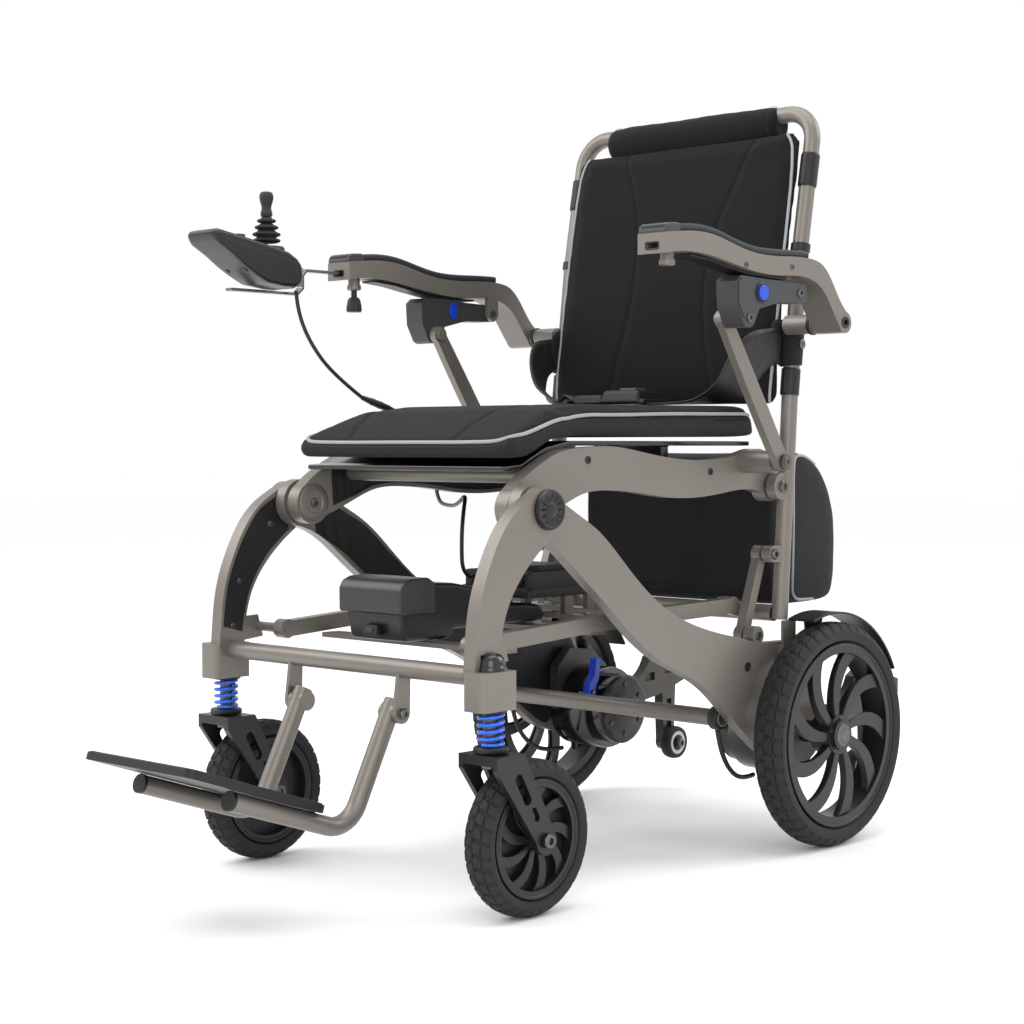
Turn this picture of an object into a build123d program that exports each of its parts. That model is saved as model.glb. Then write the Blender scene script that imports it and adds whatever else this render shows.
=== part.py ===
from build123d import *
from math import cos, radians, sin
import os

os.makedirs("parts", exist_ok=True)

# Folding power wheelchair. Millimetres, +X forward, +Y to the occupant's left, +Z up.
# The origin lies on the floor, midway between the footplate's front and the tipping pegs.
# Side profiles are drawn from the rear axle: (distance ahead of it, height above the floor).

# ---- driving dimensions ----
FRONT_REACH = 940
REAR_REACH = 262
AXLE_X = -(FRONT_REACH - REAR_REACH) / 2
WHEELBASE = 570
FIT = 0.05

REAR_WHEEL_R = 149.5
REAR_RIM_R = 121
REAR_TYRE_Y = (231, 277)
CASTER_R = 90
CASTER_RIM_R = 67
CASTER_Y = 234
CASTER_TYRE_WIDTH = 40
STEM_X = 629
STEM_R = 8

# layers of the left side, (inner face, outer face) across the chair
SEAT_RAIL_Y = (174, 193.5)
REAR_LEG_Y = (197, 213)
FRONT_LEG_Y = (215, 233)
LINK_Y = (180, 193)
BASE_RAIL_Y = (158, 174)
HOUSING_Y = (216, 251)
STRUT_Y = (247, 258)
BRACKET_Y = (260, 292)
ARM_Y = (253, 297)

# pivots in the side view
HUB = (534, 460)
BACK_PIVOT = (49, 479)
BASE_FRONT = (590, 303)
BASE_REAR = (105, 322)
LINK_TOP = (66, 390)
LINK_FOOT = (104, 285)
STRUT_FOOT = (112, 512)
STRUT_TOP = (233, 690)
ARM_PIVOT = (32, 693)
BRACKET_PIVOT = (120, 725)
FOOTREST_PIVOT = (635, 224)
AXLE = (0, REAR_WHEEL_R)
CASTER_HUB = (WHEELBASE, CASTER_R)
TIP_WHEEL = (-196, 73)
CLUTCH_PIVOT = (56, 178)
KNOB_X = 372
FOOTPLATE_LENGTH = 200
FOOTPLATE_TILT = 18.5

BACK_TUBE_R = 11
BACK_TUBE_Y = 205
HUB_PIN_R = 8
BOLT_R = 5
MOTOR_R = 58
JOYSTICK_Y = -258
ARM_SLOT_Y = -(ARM_Y[0] + ARM_Y[1]) / 2


# ---- helpers ----
def side(y):
    """Vertical plane facing the chair's right side, at y, with its origin under the rear axle."""
    return Plane(origin=(AXLE_X, y, 0), x_dir=(1, 0, 0), z_dir=(0, -1, 0))


def at(x, y, z):
    """A point given from the rear axle, the middle of the chair and the floor."""
    return (AXLE_X + x, y, z)


def polar(radius, degrees, centre=(0, 0)):
    return (centre[0] + radius * cos(radians(degrees)), centre[1] + radius * sin(radians(degrees)))


def keep(builder, name):
    builder.part.label = name
    export_step(builder.part, f"parts/{name}.step")


def keep_pair(left, name):
    """Both sides of a pair: the left one as drawn, and its mirror image."""
    with BuildPart() as right:
        mirror(left.part, about=Plane.XZ)
    keep(left, f"{name}_left")
    keep(right, f"{name}_right")


def disc(centre, radius, y_range, bore=0):
    """A round piece lying across the chair, with an optional bore through it."""
    with BuildSketch(side(y_range[1])) as section:
        with Locations(centre):
            Circle(radius)
            if bore:
                Circle(bore, mode=Mode.SUBTRACT)
    extrude(section.sketch, amount=y_range[1] - y_range[0])


def drill(centre, radius, y_range):
    with BuildSketch(side(y_range[1])) as section:
        with Locations(centre):
            Circle(radius)
    extrude(section.sketch, amount=y_range[1] - y_range[0], mode=Mode.SUBTRACT)


def tube(points, outer_radius, inner_radius=0):
    """A round tube or rod along straight runs joined by (radius) bends: points, then the bend radii."""
    path_points, bends = points
    with BuildLine() as path:
        if bends:
            FilletPolyline(*path_points, radius=bends)
        else:
            Line(*path_points)
    with BuildSketch(Plane(origin=path.line @ 0, z_dir=path.line % 0)) as section:
        Circle(outer_radius)
        if inner_radius:
            Circle(inner_radius, mode=Mode.SUBTRACT)
    sweep(section.sketch, path=path.line)


def box_between(low, high, mode=Mode.ADD):
    """A box given by its lowest and highest corners, from the rear axle."""
    size = [high[i] - low[i] for i in range(3)]
    middle = [(high[i] + low[i]) / 2 for i in range(3)]
    with Locations(at(*middle)):
        Box(*size, mode=mode)


def spoked_disc(centre, y_range, hub_radius, rim_radius, spoke_width, sweep_angle, count=9):
    """Curved spokes between a hub and a rim, lying across the chair."""
    inner, outer = hub_radius - 2, rim_radius + 1
    middle = (inner + outer) / 2
    half_in = spoke_width / inner * 28
    half_mid = spoke_width / middle * 28
    half_out = spoke_width / outer * 40
    with BuildSketch(side(y_range[1])) as spokes:
        with BuildSketch(mode=Mode.PRIVATE) as spoke:
            with BuildLine():
                ThreePointArc(polar(inner, -half_in), polar(middle, sweep_angle * 0.3 - half_mid),
                              polar(outer, sweep_angle - half_out))
                ThreePointArc(polar(outer, sweep_angle - half_out), polar(outer, sweep_angle),
                              polar(outer, sweep_angle + half_out))
                ThreePointArc(polar(outer, sweep_angle + half_out),
                              polar(middle, sweep_angle * 0.3 + half_mid), polar(inner, half_in))
                Line(polar(inner, half_in), polar(inner, -half_in))
            make_face()
        with Locations(centre):
            with PolarLocations(0, count):
                add(spoke.sketch)
    extrude(spokes.sketch, amount=y_range[1] - y_range[0])


# ---- rear frame: side legs, cross tube, motors, anti-tip arms, mudguards ----
def rear_leg_frame():
    """S-shaped castings from the main hubs down to the rear axle, tied by a low cross tube."""
    top = [(534, 490), (510, 483), (487, 468), (466, 456), (423, 432), (373, 390), (303, 336),
           (257, 314), (189, 294), (140, 284)]
    bottom = [(112, 144), (150, 173), (220, 228), (303, 266), (367, 308), (402, 338), (460, 384),
              (492, 409), (540, 430)]
    boss_foot = polar(42, 265, AXLE)
    with BuildPart() as left:
        with BuildSketch(side(REAR_LEG_Y[1])):
            with BuildLine():
                Spline(*top)
                Polyline((140, 284), (104, 275), (30, 273), (8, 254), (-30, 178))
                ThreePointArc((-30, 178), polar(42, 200, AXLE), boss_foot)
                Spline(boss_foot, (40, 112), (80, 124), (112, 144))
                Spline(*bottom)
                Line((540, 430), (534, 490))
            make_face()
            with Locations(HUB):
                Circle(30)
            with Locations(LINK_FOOT):
                Circle(12)
        extrude(amount=REAR_LEG_Y[1] - REAR_LEG_Y[0])
        drill(HUB, HUB_PIN_R + FIT, REAR_LEG_Y)
        drill(AXLE, STEM_R + FIT, REAR_LEG_Y)
        # outer ear of the saddle that takes the foot of the back tube
        box_between((32, REAR_LEG_Y[1] - 1, 250), (60, 221.5, 270))
        box_between((32, 217.5, 250), (60, 221.5, 302))
    with BuildPart() as frame:
        add(left.part)
        mirror(left.part, about=Plane.XZ)
        tube(([at(158, -REAR_LEG_Y[0], 180), at(158, REAR_LEG_Y[0], 180)], None), 11, 9)
    keep(frame, "rear_leg_frame")


def drive_motors():
    """Stationary drums of the hub motors, inboard of each rear leg and in line with the axle."""
    with BuildPart() as left:
        disc(AXLE, MOTOR_R, (128, REAR_LEG_Y[0]))
        disc(AXLE, 50, (104, 128))
        fillet(left.edges().sort_by(Axis.Y)[0], radius=5)
        disc(CLUTCH_PIVOT, 8, (128, 136))
        disc(CLUTCH_PIVOT, 3, (113, 129))
    with BuildPart() as motors:
        add(left.part)
        mirror(left.part, about=Plane.XZ)
    keep(motors, "drive_motors")


def anti_tip_arms():
    """Ribbed castings behind the motors: each arches back to a tail and drops to a small wheel."""
    arm_y = (178, 194)
    with BuildPart() as left:
        with BuildSketch(side(arm_y[1])):
            with BuildLine():
                Polyline((62, 150), (62, 210), (34, 236), (-16, 230), (-46, 206))
                ThreePointArc((-46, 206), (-98, 172), (-150, 208))
                Polyline((-150, 208), (-176, 222), (-REAR_REACH, 196), (-REAR_REACH, 176), (-212, 160),
                         (-208, 73), (-184, 73), (-180, 150), (-120, 140), (-62, 118), (-30, 95), (62, 150))
            make_face()
            with Locations(TIP_WHEEL):
                Circle(13)
            with Locations(AXLE):
                Circle(MOTOR_R, mode=Mode.SUBTRACT)
        extrude(amount=arm_y[1] - arm_y[0])
        # pockets between the ribs of the casting
        with BuildSketch(side(arm_y[0] + 5)):
            with Locations((-196, 130), (-196, 102)):
                Rectangle(12, 20)
            with Locations((-150, 178), (-196, 186), (-228, 184), (-112, 154)):
                Rectangle(22, 12)
        extrude(amount=5, mode=Mode.SUBTRACT)
        disc(TIP_WHEEL, BOLT_R, (158, arm_y[0]))
        disc(TIP_WHEEL, 8, (155, 158))
    with BuildPart() as arms:
        add(left.part)
        mirror(left.part, about=Plane.XZ)
    keep(arms, "anti_tip_arms")


def anti_tip_wheels():
    with BuildPart() as left:
        disc(TIP_WHEEL, 25, (158.5, 177.5), bore=BOLT_R + FIT)
        fillet(left.edges().filter_by(GeomType.CIRCLE).group_by(SortBy.RADIUS)[-1], radius=3)
    keep_pair(left, "anti_tip_wheel")


def mudguards():
    """Curved guards over the upper rear of the rear wheels, with a stay to the rear leg."""
    with BuildPart() as left:
        with BuildSketch(side(264)):
            with BuildLine():
                CenterArc(AXLE, 163, 72, 80)
                Line(polar(163, 152, AXLE), polar(160, 152, AXLE))
                CenterArc(AXLE, 160, 72, 80)
                Line(polar(160, 72, AXLE), polar(163, 72, AXLE))
            make_face()
        extrude(amount=42)
        with BuildSketch(side(225)):
            with BuildLine():
                CenterArc(AXLE, 162, 84, 16)
                Line(polar(162, 100, AXLE), polar(98, 96, AXLE))
                Line(polar(98, 96, AXLE), polar(98, 86, AXLE))
                Line(polar(98, 86, AXLE), polar(162, 84, AXLE))
            make_face()
        extrude(amount=3)
        box_between((-7, REAR_LEG_Y[1], 246), (3, 223, 256))
    with BuildPart() as guards:
        add(left.part)
        mirror(left.part, about=Plane.XZ)
    keep(guards, "mudguards")


def clutch_levers():
    """Freewheel levers standing on the motors' inner ends."""
    with BuildPart() as left:
        with BuildSketch(side(127.5)):
            with BuildLine():
                Polyline((53, 172), (64, 176), (62, 190), (52, 202), (48, 226), (38, 226), (42, 198),
                         (53, 172))
            make_face()
            with Locations(CLUTCH_PIVOT):
                Circle(7.5)
                Circle(3 + FIT, mode=Mode.SUBTRACT)
        extrude(amount=12)
    keep_pair(left, "clutch_lever")


# ---- wheels ----
def rear_wheels():
    with BuildPart() as left:
        with BuildSketch(side(REAR_TYRE_Y[1] - 4)):
            with Locations(AXLE):
                Circle(REAR_RIM_R)
                Circle(REAR_RIM_R - 12, mode=Mode.SUBTRACT)
        extrude(amount=38)
        spoked_disc(AXLE, (258, 268), 26, REAR_RIM_R - 12, 13, 24)
        disc(AXLE, 26, (240, 271))
        disc(AXLE, 20, (271, 276))
        disc(AXLE, STEM_R, (REAR_LEG_Y[0], 241))
        disc(AXLE, 15, (214.5, 240))
    keep_pair(left, "rear_rim")
    with BuildPart() as tyre:
        with BuildSketch(Plane(origin=at(0, 254, REAR_WHEEL_R), x_dir=(0, 1, 0), z_dir=(1, 0, 0))):
            with Locations((0, (REAR_RIM_R + REAR_WHEEL_R) / 2)):
                RectangleRounded(46, REAR_WHEEL_R - REAR_RIM_R, 11)
        revolve(axis=Axis(at(0, 254, REAR_WHEEL_R), (0, 1, 0)))
    keep_pair(tyre, "rear_tyre")


def casters():
    half = CASTER_TYRE_WIDTH / 2
    with BuildPart() as rim:
        with BuildSketch(side(CASTER_Y + half - 4)):
            with Locations(CASTER_HUB):
                Circle(CASTER_RIM_R)
                Circle(CASTER_RIM_R - 8, mode=Mode.SUBTRACT)
        extrude(amount=CASTER_TYRE_WIDTH - 8)
        spoked_disc(CASTER_HUB, (CASTER_Y + 2, CASTER_Y + 10), 14, CASTER_RIM_R - 8, 7, 24)
        disc(CASTER_HUB, 14, (CASTER_Y - 22.5, CASTER_Y + 22.5))
        drill(CASTER_HUB, 6 + FIT, (CASTER_Y - 23, CASTER_Y + 23))
    keep_pair(rim, "caster_rim")
    middle = at(WHEELBASE, CASTER_Y, CASTER_R)
    with BuildPart() as tyre:
        with BuildSketch(Plane(origin=middle, x_dir=(0, 1, 0), z_dir=(1, 0, 0))):
            with Locations((0, (CASTER_RIM_R + CASTER_R) / 2)):
                RectangleRounded(CASTER_TYRE_WIDTH, CASTER_R - CASTER_RIM_R, 10)
        revolve(axis=Axis(middle, (0, 1, 0)))
    keep_pair(tyre, "caster_tyre")


def caster_forks():
    """Raked two-legged fork with a slotted leg on each side and the wheel's axle bolt."""
    outer_face = CASTER_Y + CASTER_TYRE_WIDTH / 2 + 10
    inner_face = CASTER_Y - CASTER_TYRE_WIDTH / 2 - 10
    with BuildPart() as fork:
        box_between((606, inner_face, 181), (650, outer_face, 192))
        for face in (outer_face, inner_face + 7):
            with BuildSketch(side(face)):
                with BuildLine():
                    Polyline((606, 192), (650, 192), (650, 176), (586, 88))
                    ThreePointArc((586, 88), polar(17, 270, CASTER_HUB), (553, 92))
                    Polyline((553, 92), (606, 192))
                make_face()
                with Locations((608, 152)):
                    SlotOverall(40, 12, rotation=61, mode=Mode.SUBTRACT)
                with Locations((588, 122)):
                    SlotOverall(18, 8, rotation=61, mode=Mode.SUBTRACT)
            extrude(amount=7)
        with BuildSketch(Plane.XY.offset(192)):
            with Locations((AXLE_X + STEM_X, CASTER_Y)):
                Circle(STEM_R + FIT)
        extrude(amount=-12, mode=Mode.SUBTRACT)
        disc(CASTER_HUB, 6, (inner_face - 3, outer_face + 3))
    keep_pair(fork, "caster_fork")


def caster_suspension():
    """Stem with its lower spring plate, and the coil spring between that plate and the housing."""
    centre = (AXLE_X + STEM_X, CASTER_Y)
    with BuildPart() as stem:
        with BuildSketch(Plane.XY.offset(182)):
            with Locations(centre):
                Circle(STEM_R)
        extrude(amount=86)
        with BuildSketch(Plane.XY.offset(193)):
            with Locations(centre):
                Circle(18)
        extrude(amount=4)
    keep_pair(stem, "caster_stem")
    with BuildPart() as spring:
        with BuildLine(Plane(origin=(*centre, 200))):
            coil = Helix(pitch=7.4, height=32, radius=13.5)
        with BuildSketch(Plane(origin=coil @ 0, z_dir=coil % 0)):
            Circle(2.4)
        sweep(path=coil, is_frenet=True)
    keep_pair(spring, "caster_spring")


# ---- front frame ----
def front_leg_frame():
    """Arched castings from the hubs down to the caster housings, with the cross tube and its lugs."""
    front = [(540, 486), (563, 474), (588, 458), (607, 438), (629, 400), (645, 356), (652, 305),
             (654, 280)]
    rear = [(614, 280), (611, 317), (600, 352), (575, 388), (544, 416), (518, 434)]
    with BuildPart() as left:
        with BuildSketch(side(FRONT_LEG_Y[1])):
            with BuildLine():
                Spline(*front)
                Line((654, 280), (614, 280))
                Spline(*rear)
                Line((518, 434), (540, 486))
            make_face()
            with Locations(HUB):
                Circle(27)
        extrude(amount=FRONT_LEG_Y[1] - FRONT_LEG_Y[0])
        box_between((606, HOUSING_Y[0], 240), (658, HOUSING_Y[1], 284))
        fillet(left.edges().filter_by(Axis.Z).group_by(Axis.X)[-1], radius=8)
        with BuildSketch(Plane.XY.offset(240)):
            with Locations((AXLE_X + STEM_X, CASTER_Y)):
                Circle(STEM_R + FIT)
        extrude(amount=44, mode=Mode.SUBTRACT)
        drill(HUB, HUB_PIN_R + FIT, FRONT_LEG_Y)
        with BuildSketch(Plane.XY.offset(284)):
            with Locations((AXLE_X + STEM_X, CASTER_Y)):
                Circle(15.4)
        extrude(amount=18, mode=Mode.SUBTRACT)
        # inward pivot stub for the base rail
        with BuildSketch(side(FRONT_LEG_Y[0] + 3)):
            with BuildLine():
                Polyline((584, 290), (640, 284), (640, 316), (592, 318), (584, 290))
            make_face()
        extrude(amount=3)
        disc(BASE_FRONT, 6, (BASE_RAIL_Y[0] - 1, FRONT_LEG_Y[0] + 1))
        # lug for the footrest hinge
        with BuildSketch(side(98)):
            with BuildLine():
                Polyline((622, 276), (640, 276), (647, 224), (623, 224), (622, 276))
            make_face()
            with Locations(FOOTREST_PIVOT):
                Circle(12)
            with Locations((631, 276)):
                Circle(11, mode=Mode.SUBTRACT)
        extrude(amount=5)
        drill(FOOTREST_PIVOT, BOLT_R + FIT, (93, 98))
    with BuildPart() as frame:
        add(left.part)
        mirror(left.part, about=Plane.XZ)
        tube(([at(631, -HOUSING_Y[0], 276), at(631, HOUSING_Y[0], 276)], None), 11, 9)
    keep(frame, "front_leg_frame")


def end_caps():
    """Round cover plates on the hubs, and the domes that close the caster housings."""
    with BuildPart() as left:
        disc(HUB, 23.5, (FRONT_LEG_Y[1], 240))
        fillet(left.edges().sort_by(Axis.Y)[-1], radius=2)
        with BuildSketch(Plane.XY.offset(284)):
            with Locations((AXLE_X + STEM_X, CASTER_Y)):
                Circle(15)
        extrude(amount=15)
        fillet(left.edges().filter_by_position(Axis.Z, 298, 300), radius=7)
    with BuildPart() as caps:
        add(left.part)
        mirror(left.part, about=Plane.XZ)
    keep(caps, "end_caps")


def footrest():
    """Two bent tubes from the hinge lugs, with a plate tipped up towards its front edge."""
    with BuildPart() as frame:
        for sign in (1, -1):
            y = sign * 80
            tube(([at(632, y, 238), at(704, y, 95), at(872, y, 151.2)], [38]), 11, 8.5)
            disc(FOOTREST_PIVOT, 12, sorted((sign * 69, sign * 92.5)))
            disc(FOOTREST_PIVOT, BOLT_R, sorted((sign * 92, sign * 101)))
    keep(frame, "footrest_frame")
    along = (cos(radians(FOOTPLATE_TILT)), 0, sin(radians(FOOTPLATE_TILT)))
    across = (-along[2], 0, along[0])
    middle = FRONT_REACH - FOOTPLATE_LENGTH / 2 * along[0]
    with BuildPart() as plate:
        with BuildSketch(Plane(origin=at(middle, 0, 154.7), x_dir=along, z_dir=across)):
            Rectangle(FOOTPLATE_LENGTH, 196)
        extrude(amount=9)
        fillet(plate.edges().filter_by(lambda edge: abs(edge.length - 9) < 0.1), radius=12)
    keep(plate, "footplate")


# ---- seat frame ----
def seat_rails():
    """S-shaped castings from the hubs back to the back frame's pivots, with their fixed pins."""
    top = [(547, 484), (525, 500), (503, 512), (472, 525), (427, 531), (371, 532), (323, 526),
           (273, 519), (216, 515), (163, 516), (109, 524), (78, 529), (54, 520)]
    bottom = [(44, 461), (114, 476), (163, 471), (216, 467), (273, 469), (322, 475), (380, 479),
              (427, 476), (461, 464), (506, 446)]
    with BuildPart() as left:
        with BuildSketch(side(SEAT_RAIL_Y[1])):
            with BuildLine():
                Spline(*top)
                Polyline((54, 520), (29, 485), (44, 461))
                Spline(*bottom)
                Polyline((506, 446), (534, 434), (547, 484))
            make_face()
            with Locations(HUB):
                Circle(27)
            with Locations(BACK_PIVOT):
                Circle(20)
        extrude(amount=SEAT_RAIL_Y[1] - SEAT_RAIL_Y[0])
        disc(STRUT_FOOT, 15, (SEAT_RAIL_Y[1] - 2, STRUT_Y[0] - 2))
        drill(STRUT_FOOT, 6 + FIT, (225, STRUT_Y[0] - 2))
        disc(HUB, HUB_PIN_R, (SEAT_RAIL_Y[1] - 1, FRONT_LEG_Y[1] - 0.5))
        disc(BACK_PIVOT, HUB_PIN_R, (SEAT_RAIL_Y[1] - 1, 213))
    with BuildPart() as rails:
        add(left.part)
        mirror(left.part, about=Plane.XZ)
    keep(rails, "seat_rails")


def seat_cross_tubes():
    with BuildPart() as tubes:
        for x in (110, 300, 468):
            ends = [at(x, -SEAT_RAIL_Y[0], 498), at(x, SEAT_RAIL_Y[0], 498)]
            tube((ends, None), 10, 8)
    keep(tubes, "seat_cross_tubes")


def seat_pan():
    with BuildPart() as pan:
        with BuildSketch(side(172)):
            with BuildLine():
                Polyline((70, 533), (428, 533), (470, 525), (512, 505), (545, 503), (545, 509),
                         (514, 511), (472, 531), (430, 539), (70, 539), (70, 533))
            make_face()
        extrude(amount=344)
        for x in (110, 300):
            box_between((x - 8, -60, 508.3), (x + 8, 60, 533.5))
    keep(pan, "seat_pan")


def seat_cushion():
    """Padded seat: flat at the back, with a front edge that dips over the rails."""
    with BuildPart() as cushion:
        with BuildSketch(side(192)):
            with BuildLine():
                Polyline((66, 540), (430, 540.2), (472, 533.5), (516, 513), (548, 512))
                Polyline((548, 512), (558, 524), (552, 545), (512, 560), (462, 576), (400, 583),
                         (80, 586), (62, 574), (66, 540))
            make_face()
        extrude(amount=384)
    keep(cushion, "seat_cushion")


# ---- base frame, battery and control box ----
def base_frame():
    """Two flat bars pivoted to the front legs and to the back frame, with straps that carry the boxes."""
    rail_top = [(585, 313), (384, 325), (105, 332)]
    rail_bottom = [(105, 312), (384, 306), (585, 293)]
    with BuildPart() as rails:
        for y in (BASE_RAIL_Y[1], -BASE_RAIL_Y[0]):
            with BuildSketch(side(y)):
                with BuildLine():
                    Polyline(*rail_top, *rail_bottom, rail_top[0])
                make_face()
                for centre in (BASE_FRONT, BASE_REAR):
                    with Locations(centre):
                        Circle(12)
                with Locations(BASE_FRONT):
                    Circle(6 + FIT, mode=Mode.SUBTRACT)
            extrude(amount=BASE_RAIL_Y[1] - BASE_RAIL_Y[0])
        for sign in (1, -1):
            pin = sorted((sign * 148, sign * BASE_RAIL_Y[0]))
            disc(BASE_REAR, BOLT_R, pin)
        # cross straps below the battery, and the raised strap that carries the control box
        for x, bottom, top in ((360, 300, 306), (520, 289, 295)):
            box_between((x - 14, -BASE_RAIL_Y[0], bottom), (x + 14, BASE_RAIL_Y[0], top))
        box_between((300, -BASE_RAIL_Y[0], 312), (322, BASE_RAIL_Y[0], 318))
        box_between((296, -60, 318), (312, -52, 341))
        box_between((296, 52, 318), (312, 60, 341))
        box_between((250, -BASE_RAIL_Y[0], 316), (272, BASE_RAIL_Y[0], 322))
        box_between((254, -60, 322), (268, -52, 341))
        box_between((254, 52, 322), (268, 60, 341))
    keep(rails, "base_frame")


def battery_pack():
    """Sliding battery: rounded body with a raised hood and a latch at its front end."""
    with BuildPart() as pack:
        with BuildSketch(side(50)):
            with BuildLine():
                Polyline((335, 307), (500, 307), (505, 296), (588, 296), (592, 330), (590, 364),
                         (560, 372), (500, 369), (455, 361), (436, 350), (428, 337), (380, 337),
                         (345, 333), (335, 320), (335, 307))
            make_face()
        extrude(amount=100)
        with BuildSketch(side(56)):
            with BuildLine():
                Polyline((536, 331), (598, 331), (598, 362), (584, 374), (544, 376), (536, 369),
                         (536, 331))
            make_face()
        extrude(amount=112)
        box_between((588, -14, 305), (598, 14, 318))
    keep(pack, "battery_pack")


def controller_box():
    with BuildPart() as box:
        box_between((235, -66, 341), (385, 66, 352))
        box_between((243, -58, 352), (377, 58, 372))
        box_between((275, -40, 372), (345, 40, 380))
        chamfer(box.edges().filter_by(Axis.Z), length=3)
    keep(box, "controller_box")


# ---- back frame ----
BACK_TUBE_POINTS = [(46, 302), (24, 616), (2, 801), (-31, 984)]


def back_tube():
    """One tube bent over the top of the back, with lugs for the pivots and a low cross tube."""
    foot, waist, shoulder, crown = BACK_TUBE_POINTS
    left = [at(x, BACK_TUBE_Y, z) for x, z in (foot, waist, shoulder, crown)]
    right = [at(x, -BACK_TUBE_Y, z) for x, z in (crown, shoulder, waist, foot)]
    with BuildPart() as frame:
        tube((left + right, [300, 300, 42, 42, 300, 300]), BACK_TUBE_R, BACK_TUBE_R - 2)
        tube(([at(46, -BACK_TUBE_Y + 9, 310), at(46, BACK_TUBE_Y - 9, 310)], None), BACK_TUBE_R, 9)
        for sign in (1, -1):
            def across(low, high):
                return sorted((sign * low, sign * high))

            with BuildSketch(side(across(197, 211)[1])):
                with BuildLine():
                    Polyline((28, 460), (50, 461), (56, 497), (30, 498), (28, 460))
                make_face()
                with Locations(BACK_PIVOT):
                    Circle(18)
            extrude(amount=14)
            drill(BACK_PIVOT, HUB_PIN_R + FIT, across(196, 217))
            with BuildSketch(side(across(150, 157)[1])):
                with BuildLine():
                    Polyline((46, 320), (105, 333), (105, 311), (46, 300), (46, 320))
                make_face()
                with Locations(BASE_REAR):
                    Circle(11)
                with Locations((46, 310)):
                    Circle(9.5, mode=Mode.SUBTRACT)
            extrude(amount=7)
            drill(BASE_REAR, BOLT_R + FIT, across(150, 157))
            with BuildSketch(side(across(197, 211)[1])):
                with Locations((54, 390)):
                    Rectangle(26, 22)
                with Locations(LINK_TOP):
                    Circle(11)
            extrude(amount=14)
            disc(LINK_TOP, BOLT_R, across(LINK_Y[0] - 2, 198))
            disc(ARM_PIVOT, 13, across(206, ARM_Y[0] - 2))
            disc(ARM_PIVOT, 6, across(ARM_Y[0] - 3, ARM_Y[1] - 6))
            bore = [at(x, sign * BACK_TUBE_Y, z) for x, z in (foot, waist)]
            with BuildSketch(Plane(origin=bore[0], z_dir=Vector(*bore[1]) - Vector(*bore[0]))):
                Circle(BACK_TUBE_R - 2)
            extrude(amount=280, mode=Mode.SUBTRACT)
    keep(frame, "back_tube")


def back_links():
    """Short links from the back tubes down to the bosses on the rear legs."""
    with BuildPart() as left:
        with BuildSketch(side(LINK_Y[1])):
            with BuildLine():
                Polyline((59, 388), (73, 391), (111, 287), (97, 283), (59, 388))
            make_face()
            for centre in (LINK_TOP, LINK_FOOT):
                with Locations(centre):
                    Circle(11)
        extrude(amount=LINK_Y[1] - LINK_Y[0])
        disc(LINK_FOOT, 7, (LINK_Y[1], LINK_Y[1] + 2.5))
        drill(LINK_TOP, BOLT_R + FIT, LINK_Y)
    with BuildPart() as links:
        add(left.part)
        mirror(left.part, about=Plane.XZ)
    keep(links, "back_links")


def back_upholstery():
    """Padded back with the roll over its top edge, and the bag that hangs behind the tubes."""
    with BuildPart() as pad:
        with BuildSketch(side(190)):
            with BuildLine():
                Polyline((30, 590), (50, 596), (52, 616), (35, 740), (19, 830), (0, 928), (-12, 938))
                Polyline((-12, 938), (-24, 934), (-4, 830), (11, 740), (26, 640), (30, 590))
            make_face()
        extrude(amount=380)
    keep(pad, "back_pad")
    with BuildPart() as roll:
        with BuildSketch(side(150)):
            with Locations((-31, 972)):
                Ellipse(20, 27)
            with Locations(BACK_TUBE_POINTS[-1]):
                Circle(BACK_TUBE_R + 0.4, mode=Mode.SUBTRACT)
        extrude(amount=300)
    keep(roll, "head_roll")
    with BuildPart() as bag:
        with BuildSketch(side(173)):
            with BuildLine():
                Polyline((16, 322), (16, 512), (-10, 530), (-60, 530), (-110, 510), (-140, 470),
                         (-150, 430), (-146, 340), (-136, 312), (6, 312), (16, 322))
            make_face()
        extrude(amount=346)
    keep(bag, "storage_bag")


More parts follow.
